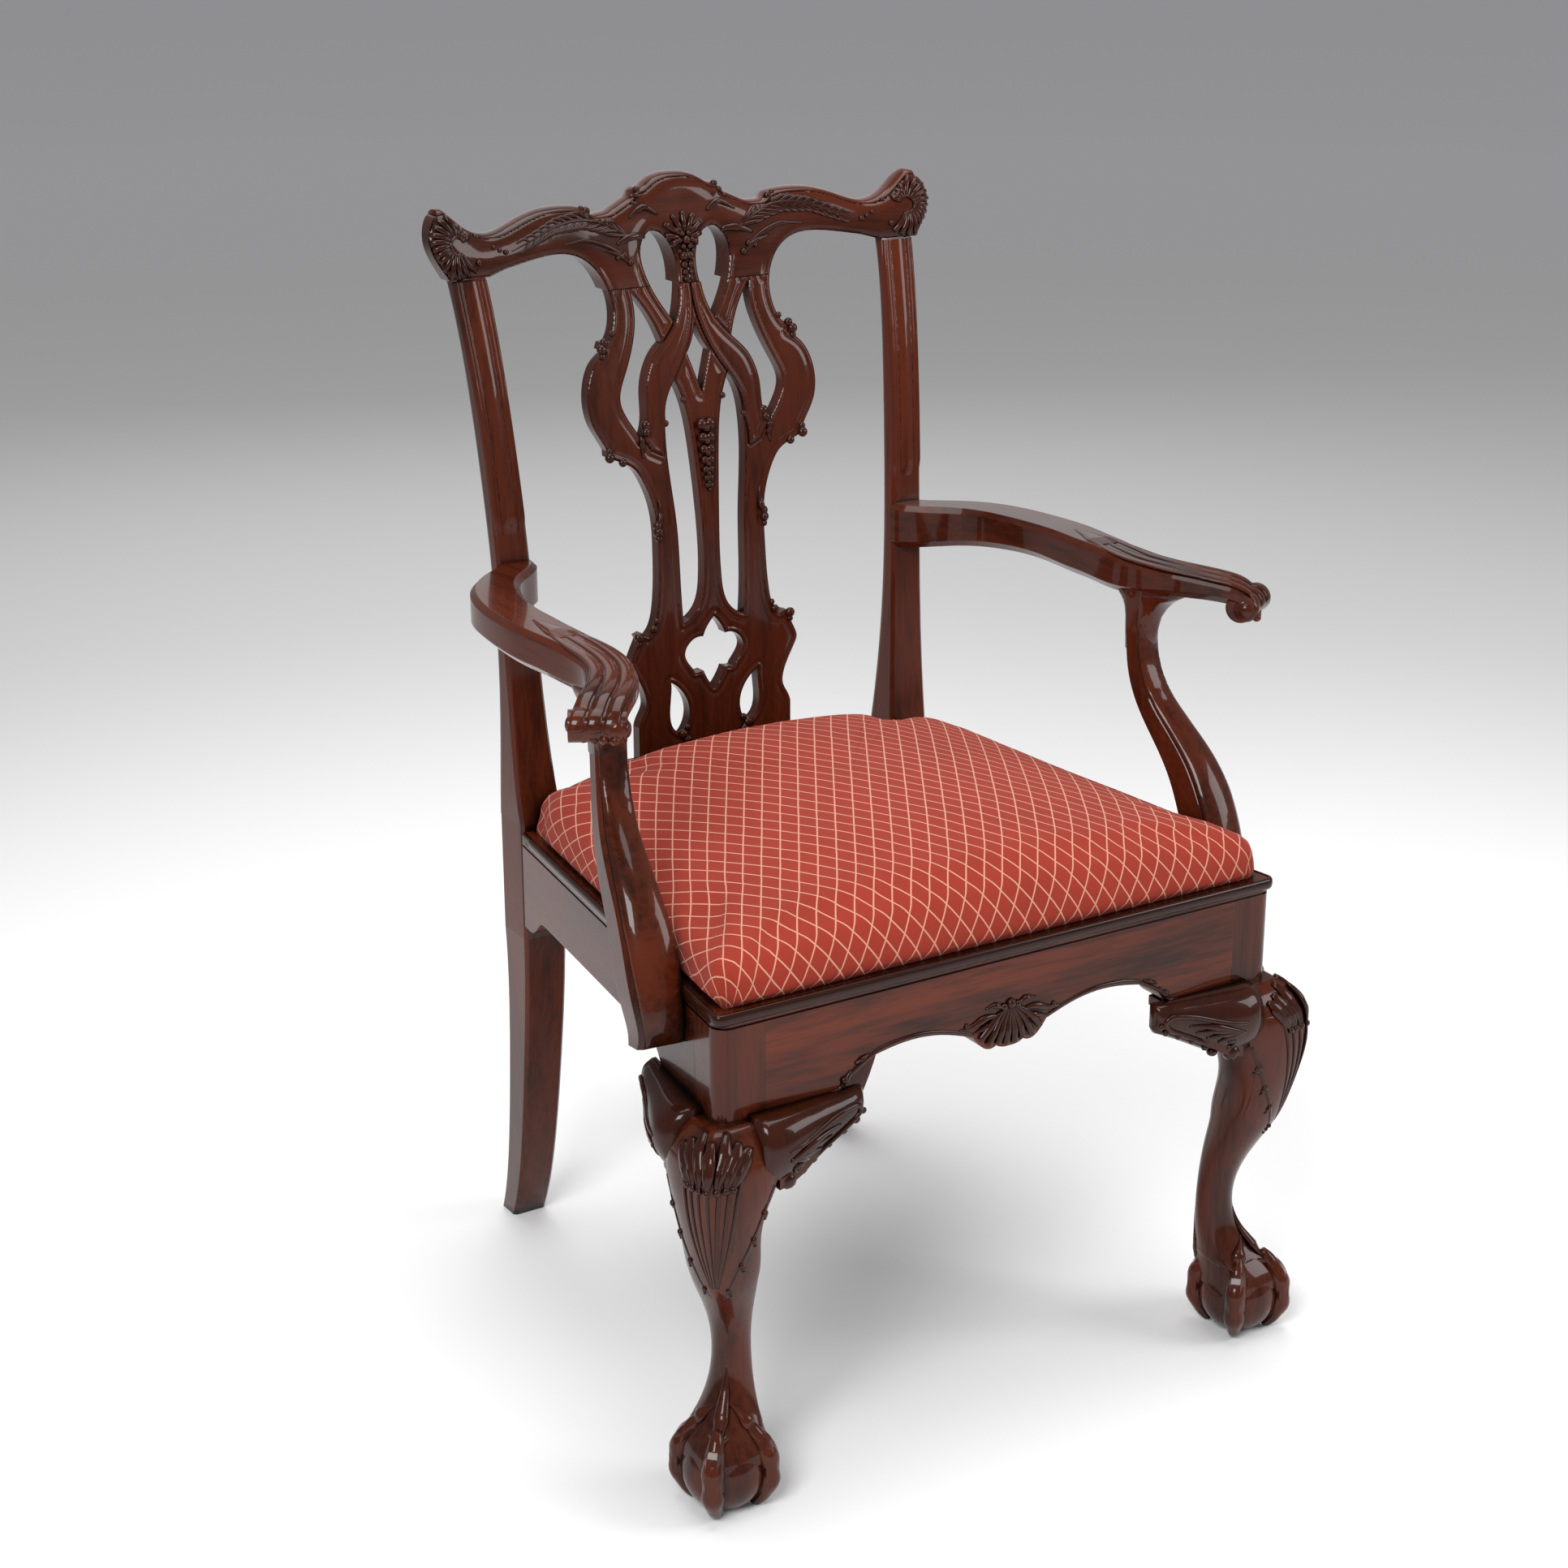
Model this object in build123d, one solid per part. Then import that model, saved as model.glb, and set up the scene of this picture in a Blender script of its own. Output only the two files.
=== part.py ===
from build123d import *
import os
from math import atan2, cos, degrees, radians, sin, sqrt, tan

# Overall sizes in mm, floor at z = 0, front of the chair towards -Y
seat_top = 447.0
front_half = 286.0
back_half = 226.0
front_y = -277.0
back_y = 177.0
back_height = 1016.0

# Seat rails
rail_thick = 30.0
post_size = 45.0
rail_end_drop = 95.0
lip_wide = 12.0
rebate_deep = 18.0
post_round = 13.0
tenon_thick = 10.0
tenon_long = 18.0
shell_half = 38.0
bracket_drop = 58.0
bracket_long = 71.0

# Back posts
seat_post_wide = 43.0
seat_post_deep = 46.0
top_post_wide = 33.0
top_post_deep = 22.0
heel_reach = 100.0
heel_splay = 22.5

# Splat, crest and shoe
splat_thick = 12.0
crest_thick = 24.0
crest_high = 94.0
strap_relief = 2.5
splat_half = 84.0
shoe_top = 478.0
back_sag = 14.0

# Front legs
foot_reach = 43.0
ball_radius = 36.0

# Arms
arm_high = 229.0
roll_radius = 13.0
roll_wide = 46.0

# Slip seat
seat_gap = 1.0
cover_thick = 1.5
seat_lift = 0.3
seat_rail_thick = 19.7
seat_rail_wide = 55.0
crown_height = 67.0
crown_over = 10.0
web_wide = 50.0
web_thick = 1.4
hessian_thick = 1.0

# Screws and tacks
screw_radius = 2.2
screw_head = 4.4
arm_grip = 14.0
tack_radius = 3.0

# Values that follow from the sizes above
rail_bottom = seat_top - rail_end_drop
seat_deep = back_y - front_y
rebate_floor = seat_top - rebate_deep
taper = atan2(front_half - back_half, seat_deep)
seat_bottom = rebate_floor + seat_lift
seat_frame_top = seat_bottom + seat_rail_thick
back_rail_front = back_y + 9.0
back_lip = back_rail_front + 14.0
back_rail_back = back_y + seat_post_deep + 1.0
post_centre = back_half - seat_post_wide / 2
splat_joint = back_height - crest_high
crest_joint = splat_joint + 24.0
splat_foot = shoe_top - 20.0


def side_x(y, inward):
    return front_half - tan(taper) * (y - front_y) - inward / cos(taper)


def rail_frame(part):
    return Location((front_half, front_y, 0), (0, 0, degrees(taper))) * part


def box(x0, x1, y0, y1, z0, z1):
    return Pos((x0 + x1) / 2, (y0 + y1) / 2, (z0 + z1) / 2) * Box(x1 - x0, y1 - y0, z1 - z0)


def flip(part):
    return mirror(part, about=Plane.YZ)


def front_prism(edges, y0, y1):
    face = make_face(Plane.XZ.offset(-y0) * edges)
    return extrude(face, y1 - y0, dir=(0, 1, 0))


def side_prism(edges, x0, x1):
    face = make_face(Plane.YZ.offset(x0) * edges)
    return extrude(face, x1 - x0, dir=(1, 0, 0))


def plan_prism(edges, z0, z1):
    return extrude(make_face(Pos(0, 0, z0) * edges), z1 - z0, dir=(0, 0, 1))


def mirrored(points):
    return points + [(-x, z) for x, z in reversed(points) if abs(x) > 1e-6]


# Bevelled bar carried along a path, each station is x, y, z, width, height
def swept(stations, top, under, across=None):
    faces = []
    last = len(stations) - 1
    for i, (x, y, z, w, h) in enumerate(stations):
        a = stations[max(i - 1, 0)]
        b = stations[min(i + 1, last)]
        along = Vector(b[0] - a[0], b[1] - a[1], b[2] - a[2])
        side = Vector(*across) if across else Vector(-along.Y, along.X, 0)
        plane = Plane(origin=(x, y, z), x_dir=side, z_dir=along)
        u = w / 2
        v = h / 2
        right = [(u - under, -v), (u, under - v), (u, v - top), (u - top, v)]
        left = [(-p, q) for p, q in reversed(right)]
        faces.append(plane * make_face(Polyline(*right, *left, close=True)))
    return loft(faces)


# Tapering carved talon, each station is x, y, z, radius
def talon(stations):
    faces = []
    last = len(stations) - 1
    for i, (x, y, z, r) in enumerate(stations):
        a = stations[max(i - 1, 0)]
        b = stations[min(i + 1, last)]
        along = Vector(b[0] - a[0], b[1] - a[1], b[2] - a[2])
        plane = Plane(origin=(x, y, z), x_dir=(along.Y, -along.X, 0), z_dir=along)
        faces.append(plane * RegularPolygon(r, 6))
    return loft(faces)


# Leg section on the corner's diagonal: outer ridge, inner ridge and the swell of its four sides
def leg_section(z, ridge, heel, swell):
    mid = (ridge + heel) / 2
    half = (ridge - heel) / 2
    s = sqrt(0.5)

    def at(along, across):
        return (front_half + s * (along + across), front_y - s * (along - across), z)

    bow = half * (0.5 + swell)
    corners = [(half, 0), (0, half), (-half, 0), (0, -half)]
    bulges = [(bow, bow), (-bow, bow), (-bow, -bow), (bow, -bow)]
    edges = []
    for i in range(4):
        a = corners[i]
        b = corners[(i + 1) % 4]
        m = bulges[i]
        edges.append(ThreePointArc(at(mid + a[0], a[1]), at(mid + m[0], m[1]), at(mid + b[0], b[1])))
    return make_face(edges)


# Cabriole down its diagonal: share of the height, outer ridge, inner ridge, swell of the sides
cabriole = [
    (1.0, 5.0, -66.0, 0.03),
    (0.966, 23.0, -66.0, 0.05),
    (0.923, 31.5, -64.0, 0.06),
    (0.872, 35.0, -58.0, 0.07),
    (0.801, 33.0, -46.0, 0.10),
    (0.696, 24.0, -42.0, 0.12),
    (0.599, 11.0, -46.0, 0.14),
    (0.506, -9.0, -51.0, 0.17),
    (0.418, -21.0, -54.0, 0.2),
    (0.335, -21.0, -55.0, 0.2),
    (0.261, -9.0, -54.0, 0.15),
    (0.193, 15.0, -53.0, 0.08),
    (0.131, 28.0, -53.0, 0.06),
]


def cabriole_stem():
    stem = loft([leg_section(share * rail_bottom, *row) for share, *row in cabriole])
    x0 = front_half - post_size
    y1 = front_y + post_size
    z0 = rail_bottom - bracket_drop
    stem -= box(x0 - 200, x0, front_y - 200, y1 + 200, z0, rail_bottom + 50)
    return stem - box(x0 - 200, front_half + 200, y1, y1 + 200, z0, rail_bottom + 50)


def claw_foot():
    c = -12.0 / sqrt(2)
    cx = front_half + c
    cy = front_y - c
    foot = Pos(cx, cy, ball_radius - 1.5) * Sphere(ball_radius)
    for turn in (-45, 45, 135, 225):
        ux = cos(radians(turn))
        uy = sin(radians(turn))
        rows = []
        for out, up, r in ((0.60, 1.94, 7.0), (0.88, 1.28, 9.5), (0.85, 0.67, 8.5), (0.58, 0.11, 5.0)):
            reach = out * foot_reach
            rows.append((cx + reach * ux, cy + reach * uy, up * ball_radius, r))
        foot += talon(rows)
    return foot - box(0, 500, -500, 0, -50, 0)


def post_outline(inset, round_corner):
    a = (front_half - post_size, front_y + inset)
    b = (side_x(front_y + inset, inset), front_y + inset)
    c = (side_x(front_y + post_size, inset), front_y + post_size)
    d = (front_half - post_size, front_y + post_size)
    face = make_face(Polyline(a, b, c, d, close=True))
    if round_corner:
        corner = face.vertices().sort_by_distance((b[0], b[1], 0))[0]
        face = fillet(corner, round_corner)
    return face


def corner_post():
    post = Pos(0, 0, rail_bottom) * extrude(post_outline(0, post_round), rail_end_drop)
    quirk = post_outline(0, post_round) - post_outline(1.6, post_round - 1)
    post -= Pos(0, 0, seat_top - 13) * extrude(quirk, 2)
    pocket = post_outline(lip_wide, 0)
    post -= Pos(0, 0, rebate_floor) * extrude(pocket, rebate_deep + 5)
    return post


def front_tenon(grow):
    x0 = front_half - post_size
    y0 = front_y + 11
    z0 = rail_bottom + 16
    return box(x0 - 1, x0 + tenon_long + grow, y0, y0 + tenon_thick, z0, rebate_floor - 10)


def side_tenon(grow):
    z0 = rail_bottom + 16
    y0 = post_size + 8
    y1 = post_size - tenon_long - grow
    return rail_frame(box(-11 - tenon_thick, -11, y1, y0, z0, rebate_floor - 10))


def front_leg():
    leg = corner_post() + cabriole_stem() + claw_foot()
    return leg - front_tenon(1) - side_tenon(1)


# Lower edge of the front rail, right half, from the middle outwards
def apron_edge(x1):
    z = rail_bottom
    u = shell_half / 38.0
    end = x1 - 81
    span = end - shell_half
    edge = Curve() + Spline((0, z + 3), (10 * u, z + 4), (14 * u, z + 6))
    edge += Spline((14 * u, z + 6), (24 * u, z + 5), (31 * u, z + 10), (shell_half, z + 19))
    arch = ((0, 19), (0.26, 29), (0.51, 32), (0.77, 28), (1, 13))
    rise = [(shell_half + share * span, z + up) for share, up in arch]
    edge += Spline(*rise, tangents=[(1, 0.35), (0.6, -1)])
    edge += Spline((end, z + 13), (end + 8, z + 4), (end + 20, z), tangents=[(0.5, -1), (1, 0)])
    return edge + Polyline((end + 20, z), (x1, z))


def front_rail():
    x1 = front_half - post_size
    half = apron_edge(x1) + Polyline((x1, rail_bottom), (x1, seat_top), (0, seat_top), (0, rail_bottom + 3))
    rail = front_prism(half, front_y, front_y + rail_thick)
    rail -= box(-1, x1 + 1, front_y - 1, front_y + 1.6, seat_top - 13, seat_top - 11)
    rail -= box(-1, x1 + 1, front_y + lip_wide, front_y + rail_thick + 1, rebate_floor, seat_top + 1)
    lip = box(-1, x1 + 1, front_y - 1, front_y + 3, seat_top - 4, seat_top + 1)
    roll = Pos(x1 / 2, front_y + 4, seat_top - 4) * Rot(0, 90, 0) * Cylinder(4, x1 + 4)
    rail -= lip - roll - box(-1, x1 + 1, front_y + 4, front_y + 20, seat_top - 9, seat_top + 9)
    rail += front_tenon(0)
    return rail + flip(rail)


# Side rail drawn in its own frame, y along its outer face from the front corner
def side_rail():
    long = seat_deep / cos(taper)
    low = rail_bottom
    fore = post_size + bracket_long
    edge = Curve() + Polyline((post_size, low), (post_size, seat_top), (long + 20, seat_top))
    edge += Polyline((long + 20, seat_top), (long + 20, low + 2))
    edge += Polyline((long + 20, low + 2), (long - 12, low + 2))
    edge += Spline((long - 12, low + 2), (long - 30, low + 8), (long - 42, low + 18), (long - 58, low + 22),
                   tangents=[(-1, 0), (-1, 0)])
    edge += Polyline((long - 58, low + 22), (fore + 34, low + 22))
    edge += Spline((fore + 34, low + 22), (fore + 16, low + 18), (fore + 2, low + 4), (fore - 8, low),
                   tangents=[(-1, 0), (-1, 0)])
    edge += Polyline((fore - 8, low), (post_size, low))
    rail = side_prism(edge, -rail_thick, 0)
    rail -= box(-rail_thick - 1, -lip_wide, 0, long + 60, rebate_floor, seat_top + 1)
    rail -= box(-1.6, 1, 0, long + 60, seat_top - 13, seat_top - 11)
    bead = box(-4, 1, 0, long + 60, seat_top - 4, seat_top + 1)
    bead -= Pos(-4, long / 2, seat_top - 4) * Rot(90, 0, 0) * Cylinder(4, long + 200)
    rail = rail_frame(rail - bead)
    rail -= box(0, 600, back_y, back_y + 200, 0, 900)
    front_cut = box(0, 600, front_y - 50, front_y + post_size, 0, 900)
    return rail - front_cut + side_tenon(0) + back_side_tenon(0)


def back_side_tenon(grow):
    long = seat_deep / cos(taper)
    z0 = rail_bottom + 18
    tongue = box(-13 - tenon_thick, -13, long - 20, long + tenon_long + grow, z0, rebate_floor - 10)
    return rail_frame(tongue) - box(0, 600, front_y, back_y - 1, 0, 900)


def back_rail_tenon(grow):
    x0 = post_centre - seat_post_wide / 2
    y0 = back_rail_back - 8 - tenon_thick
    return box(x0 - 2, x0 + 14 + grow, y0, y0 + tenon_thick, rail_bottom + 30, rebate_floor - 10)


# Back leg below the seat: share of the height, share of the splay, width, depth
def leg_rows():
    top = rail_bottom - 12
    rows = []
    for up, out, w, d in ((0, 1.0, 35, 29), (0.21, 0.65, 37, 33), (0.52, 0.35, 40, 37), (0.79, 0.14, 42, 41)):
        y = back_y + out * heel_reach
        rows.append((up * top, post_centre - out ** 0.75 * heel_splay, w, y, y + d, 4))
    rows.append((top, post_centre, seat_post_wide, back_y, back_y + seat_post_deep, 4))
    return rows


# Stile above the seat: share of the height, outward lean, share of the taper, rake, thinning, back radius
def stile_rows():
    z0 = seat_top + 6
    rows = []
    for up, lean, slim, rake, thin, r in (
        (0, 0, 0, 0, 0, 4), (0.105, 2.5, 0.3, 8, 0.38, 9), (0.237, 4.5, 0.7, 14, 0.71, 11),
        (0.379, 6.5, 0.9, 19, 0.92, 11), (0.542, 9.5, 1.05, 25, 0.96, 10), (0.805, 16, 1.1, 42, 1, 10),
        (1, 22, 1, 65, 1, 10),
    ):
        y = back_y + rake
        w = seat_post_wide + (top_post_wide - seat_post_wide) * slim
        d = seat_post_deep + (top_post_deep - seat_post_deep) * thin
        rows.append((z0 + up * (crest_joint - z0), post_centre + lean, w, y, y + d, r))
    return rows


def post_section(row):
    z, x, w, y0, y1, r = row
    u = w / 2
    c = 3.0
    k = r * (1 - sqrt(0.5))
    edges = [
        Line((x - u + c, y0, z), (x + u - c, y0, z)),
        Line((x + u - c, y0, z), (x + u, y0 + c, z)),
        Line((x + u, y0 + c, z), (x + u, y1 - r, z)),
        ThreePointArc((x + u, y1 - r, z), (x + u - k, y1 - k, z), (x + u - r, y1, z)),
        Line((x + u - r, y1, z), (x - u + r, y1, z)),
        ThreePointArc((x - u + r, y1, z), (x - u + k, y1 - k, z), (x - u, y1 - r, z)),
        Line((x - u, y1 - r, z), (x - u, y0 + c, z)),
        Line((x - u, y0 + c, z), (x - u + c, y0, z)),
    ]
    return make_face(edges)


# Leg below the seat, square with its corners eased
def leg_square(row):
    z, x, w, y0, y1, r = row
    u = w / 2
    c = 3.0
    right = [(x + u - c, y0, z), (x + u, y0 + c, z), (x + u, y1 - r, z), (x + u - r, y1, z)]
    left = [(2 * x - p, y, h) for p, y, h in reversed(right)]
    return make_face(Polyline(*right, *left, close=True))


def stile():
    return loft([post_section(row) for row in stile_rows()])


def back_post():
    rows = leg_rows()
    leg = loft([leg_square(row) for row in rows])
    middle = extrude(leg_square(rows[-1]), seat_top + 6 - rows[-1][0], dir=(0, 0, 1))
    post = leg + middle + stile() + post_tenon(0)
    return post - back_side_tenon(1) - back_rail_tenon(1)


# Centre, front face and back face of the stile at one height
def stile_at(z):
    rows = stile_rows()
    for low, high in zip(rows, rows[1:]):
        if low[0] <= z <= high[0]:
            t = (z - low[0]) / (high[0] - low[0])
            return [low[k] + (high[k] - low[k]) * t for k in (1, 3, 4)]


# Everything behind the front face of the stile
def behind_stile():
    front = [(row[3], row[0]) for row in stile_rows()]
    far = back_y + 220
    edges = Curve() + Spline(*front)
    edges += Polyline(front[0], (far, front[0][1]), (far, front[-1][1]), front[-1])
    return side_prism(edges, 100, 400)


def post_tenon(grow):
    z, x, w, y, back, r = stile_rows()[-1]
    return box(x - 10, x + 10, y + 8, y + 8 + tenon_thick, z - 4, z + 18 + grow)


def back_rail():
    x1 = post_centre - seat_post_wide / 2
    rail = box(-x1, x1, back_rail_front, back_rail_back, rail_bottom + 20, seat_top)
    rail -= box(-x1 - 1, x1 + 1, back_rail_front - 1, back_lip, rebate_floor, seat_top + 1)
    return rail + back_rail_tenon(0) + flip(back_rail_tenon(0))


# Rake of the back as seen from the side, bowed back towards the middle
def back_slab(front_off, thick):
    rake = [(33, -0.012), (33, 0.199), (36, 0.41), (45, 0.576)]
    rake += [(63, 0.77), (80, 0.88), (98, 1.01), (106, 1.06)]
    high = back_height - seat_top
    faces = []
    for share in (-1.24, -0.62, 0, 0.62, 1.24):
        bow = -back_sag * share ** 2
        front = [(back_y + y + bow + front_off, seat_top + up * high) for y, up in rake]
        back = [(y + thick, z) for y, z in front]
        edges = Curve() + Spline(*front) + Spline(*back)
        edges += Polyline(front[0], back[0])
        edges += Polyline(front[-1], back[-1])
        faces.append(make_face(Plane.YZ.offset(share * back_half) * edges))
    return loft(faces)


# Points drawn on a splat 84 mm to each side, from 478 to 922 mm high, carried to its real size
def drawn(*points):
    u = splat_half / 84.0
    v = (splat_joint - shoe_top) / 444.0
    return [(x * u, shoe_top + (z - 478.0) * v) for x, z in points]


def drawn_spline(*points, tangents=()):
    return Spline(*drawn(*points), tangents=tangents)


# Right half of the splat's outside line, from the shoe up to the crest
def splat_outline():
    bulb = drawn_spline((84, 514), (76, 532), (80, 554), (90, 574), (82, 600),
                        tangents=[(-0.2, 1), (-0.5, 1)])
    curl = Polyline(*drawn((82, 600), (84, 604), (78, 606), (72, 603)))
    waist = drawn_spline((72, 603), (61, 630), (58, 680), (61, 725), (74, 756), (98, 772),
                         tangents=[(-1, 0.8), (1, 0.4)])
    leaf = Polyline(*drawn((98, 772), (105, 775), (105, 781)))
    loop = drawn_spline((105, 781), (118, 804), (122, 828), (114, 855), (98, 869),
                        tangents=[(0.5, 1), (-1, 0.6)])
    bud = Polyline(*drawn((98, 869), (103, 872), (100, 878), (93, 879)))
    neck = drawn_spline((93, 879), (84.5, 900), (86, 922), tangents=[(-0.8, 1), (0.3, 1)])
    foot, top = drawn((84, 514), (86, 922))
    edges = Curve() + Polyline((0, splat_foot), (splat_half, splat_foot), foot)
    edges += bulb + curl + waist + leaf + loop + bud + neck
    return edges + Polyline(top, (0, splat_joint), (0, splat_foot))


def quatrefoil():
    edges = Curve() + drawn_spline((0, 611), (7, 603), (12, 593))
    edges += drawn_spline((12, 593), (22, 592), (32, 577), (22, 560), (12, 559),
                          tangents=[(1, 0.2), (-1, 0.2)])
    edges += drawn_spline((12, 559), (7, 549), (0, 540))
    return edges + Polyline(*drawn((0, 540), (0, 611)))


def teardrop():
    edges = Curve() + drawn_spline((48, 553), (35, 541), (28, 523), (31, 507), (36, 500))
    return edges + drawn_spline((36, 500), (46, 507), (49.5, 525), (48, 553))


def long_slit():
    inner = drawn_spline((29, 838), (21, 818), (14, 775), (10, 715), (9.5, 650), (15, 624), (33, 609))
    edges = Curve() + inner
    return edges + drawn_spline((33, 609), (35, 645), (36.5, 705), (42, 768), (42, 795), (39, 818), (29, 838))


def keyhole():
    edges = Curve() + drawn_spline((21, 888), (12, 918), (13, 952), (24, 968), (35, 970))
    return edges + drawn_spline((35, 970), (46, 955), (45, 935), (35, 910), (21, 888))


def loop_hole():
    outer = drawn_spline((63, 919), (62, 897), (68, 873), (79, 848), (87, 824), (80, 806), (68, 788))
    edges = Curve() + outer
    edges += drawn_spline((68, 788), (62, 806), (61, 828), (52, 855), (37, 871))
    return edges + drawn_spline((37, 871), (46, 894), (63, 919))


def diamond():
    edges = Curve() + drawn_spline((0, 889), (4, 874), (12, 860))
    edges += drawn_spline((12, 860), (6, 842), (0, 823))
    return edges + Polyline(*drawn((0, 823), (0, 889)))


def ribbon():
    edges = Curve() + drawn_spline((1, 922), (2, 898), (8, 876), (18, 856), (29, 839), (38, 824), (42, 800))
    edges += drawn_spline((42, 800), (46, 782), (46, 770))
    edges += Polyline(*drawn((46, 770), (58, 776), (67, 789)))
    edges += drawn_spline((67, 789), (62, 806), (61, 828), (52, 855), (37, 871), (22, 888), (12, 915),
                          (11.5, 922))
    return edges + Polyline(*drawn((11.5, 922), (1, 922)))


def splat_holes():
    cut = front_prism(quatrefoil(), 100, 400)
    for edges in (teardrop(), long_slit(), keyhole(), loop_hole(), diamond()):
        cut += front_prism(edges, 100, 400)
    return cut


def splat_tongues(grow):
    z0 = splat_joint - 3
    z1 = splat_joint + 14 + grow
    cuts = box(-9 - grow, 9 + grow, 100, 400, z0, z1)
    side = box(splat_half - 26 - grow, splat_half - 4 + grow, 100, 400, z0, z1)
    return cuts + side + flip(side)


def splat():
    slab = back_slab(0, splat_thick)
    holes = splat_holes()
    half = (front_prism(splat_outline(), 100, 400) & slab) - holes
    band = front_prism(ribbon(), 100, 400) & back_slab(-strap_relief, splat_thick)
    half = half + (band - holes)
    whole = half + flip(half)
    tongue = splat_tongues(0) & back_slab(3, 6)
    return whole + tongue


# Points drawn on a crest whose post stands 226 mm out and 24 mm above the splat, carried to its real size
def crest_drawn(*points):
    inner = splat_half * 86.0 / 84.0
    u = (post_centre + 22 - inner) / 140.0
    v = (back_height - crest_joint) / 70.0
    made = []
    for x, z in points:
        out = inner + (x - 86.0) * u if x > 86.0 else x * inner / 86.0
        up = crest_joint + (z - 946.0) * v if z > 946.0 else splat_joint + z - 922.0
        made.append((out, up))
    return made


def crest_spline(*points, tangents=()):
    return Spline(*crest_drawn(*points), tangents=tangents)


# Crest rail outline, right half
def crest_outline():
    under = crest_spline((86, 922), (92, 936), (108, 952), (147, 957.5), (182, 952), (205, 946),
                         tangents=[(0.3, 1), (1, -0.3)])
    seat = Polyline(*crest_drawn((205, 946), (246, 946)))
    ear = crest_spline((246, 946), (256, 962), (262, 982), (256, 998), (244, 1003),
                       tangents=[(0.6, 1), (-1, 0)])
    dip = crest_spline((244, 1003), (222, 985), (198, 978), (165, 987), (129, 994.5), (96, 990), (72, 986),
                       tangents=[(-1, -0.7), (-1, 0.1)])
    leaf = Polyline(*crest_drawn((72, 986), (46, 998), (42, 1004), (36, 1004)))
    dome = crest_spline((36, 1004), (20, 1013), (0, 1016), tangents=[(-1, 0.6), (-1, 0)])
    base = Polyline(*crest_drawn((0, 1016), (0, 922), (86, 922)))
    return Curve() + under + seat + ear + dip + leaf + dome + base


# Back of the ear, bevelled away from the post outwards
def ear_bevel():
    x0 = post_centre + 34
    faces = []
    for z, rake in ((crest_joint - 6, 78), (back_height - 6, 95)):
        y = back_y + rake - 1.2 * back_sag + crest_thick
        x1 = x0 + 40
        wedge = Polyline((x0, y, z), (x1, y - 20, z), (x1, y + 30, z), (x0, y + 30, z), close=True)
        faces.append(make_face(wedge))
    return loft(faces)


def crest_rail():
    slab = back_slab(0, crest_thick)
    half = front_prism(crest_outline(), 100, 400) & slab
    half -= front_prism(keyhole(), 100, 400)
    half -= post_tenon(1)
    half -= ear_bevel()
    whole = half + flip(half)
    return whole - (splat_tongues(0) & back_slab(3, 6))


def shoe():
    y0 = back_lip
    y1 = back_rail_back + 5
    edges = Curve() + Polyline((y0, seat_top), (y0, seat_top + 5))
    edges += Spline((y0, seat_top + 5), (y0 + 3, seat_top + 16), (y0 + 7, shoe_top),
                    tangents=[(0, 1), (0.2, 1)])
    edges += Polyline((y0 + 7, shoe_top), (y1, shoe_top), (y1, seat_top), (y0, seat_top))
    block = side_prism(edges, -splat_half - 9, splat_half + 9)
    socket = box(-splat_half, splat_half, 100, 400, splat_foot, shoe_top + 20) & back_slab(0, splat_thick)
    return block - socket


# Drop of the bracket's lower edge, from its thin end to the knee
def bracket_edge(start, end, z):
    step = (end - start) / bracket_long
    low = bracket_drop
    points = [(0, 9), (16, 0.345 * low), (34, 0.69 * low), (52, 0.9 * low), (bracket_long, low)]
    way = 1 if step > 0 else -1
    return Spline(*[(start + x * step, z - drop) for x, drop in points], tangents=[(way, -0.2), (way, -0.2)])


# Glued bracket beside the knee under the front rail
def front_bracket():
    x1 = front_half - post_size
    x0 = x1 - bracket_long
    z1 = rail_bottom
    face = Curve() + Polyline((x1, z1), (x0, z1), (x0, z1 - 9)) + bracket_edge(x0, x1, z1)
    face += Polyline((x1, z1 - bracket_drop), (x1, z1))
    y0 = front_y - 4
    y1 = front_y + 26
    plan = Curve() + Spline((x0 - 2, y0), (x0 + 20, y0 - 11), (x0 + 45, y0 - 16), (x1 + 1, y0 - 18))
    plan += Polyline((x1 + 1, y0 - 18), (x1 + 1, y1), (x0 - 2, y1), (x0 - 2, y0))
    return front_prism(face, front_y - 60, front_y + 60) & plan_prism(plan, z1 - 150, z1 + 50)


# The same bracket turned to the side rail
def side_bracket():
    y1 = post_size
    y0 = post_size + bracket_long
    z1 = rail_bottom
    face = Curve() + Polyline((y1, z1), (y0, z1), (y0, z1 - 9)) + bracket_edge(y0, y1, z1)
    face += Polyline((y1, z1 - bracket_drop), (y1, z1))
    plan = Curve() + Spline((4, y0 + 2), (15, y0 - 20), (20, y0 - 45), (23, y1 - 4))
    plan += Polyline((23, y1 - 4), (-26, y1 - 4), (-26, y0 + 2), (4, y0 + 2))
    block = rail_frame(side_prism(face, -60, 60) & plan_prism(plan, z1 - 150, z1 + 50))
    return block - box(0, 600, front_y - 100, front_y + post_size, 0, 900)


# Place beside the side rail: out from its face, share of the seat's depth, height
def by_rail(out, along, z):
    y = front_y + along * seat_deep
    return (side_x(y, 0) + out, y, z)


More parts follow.
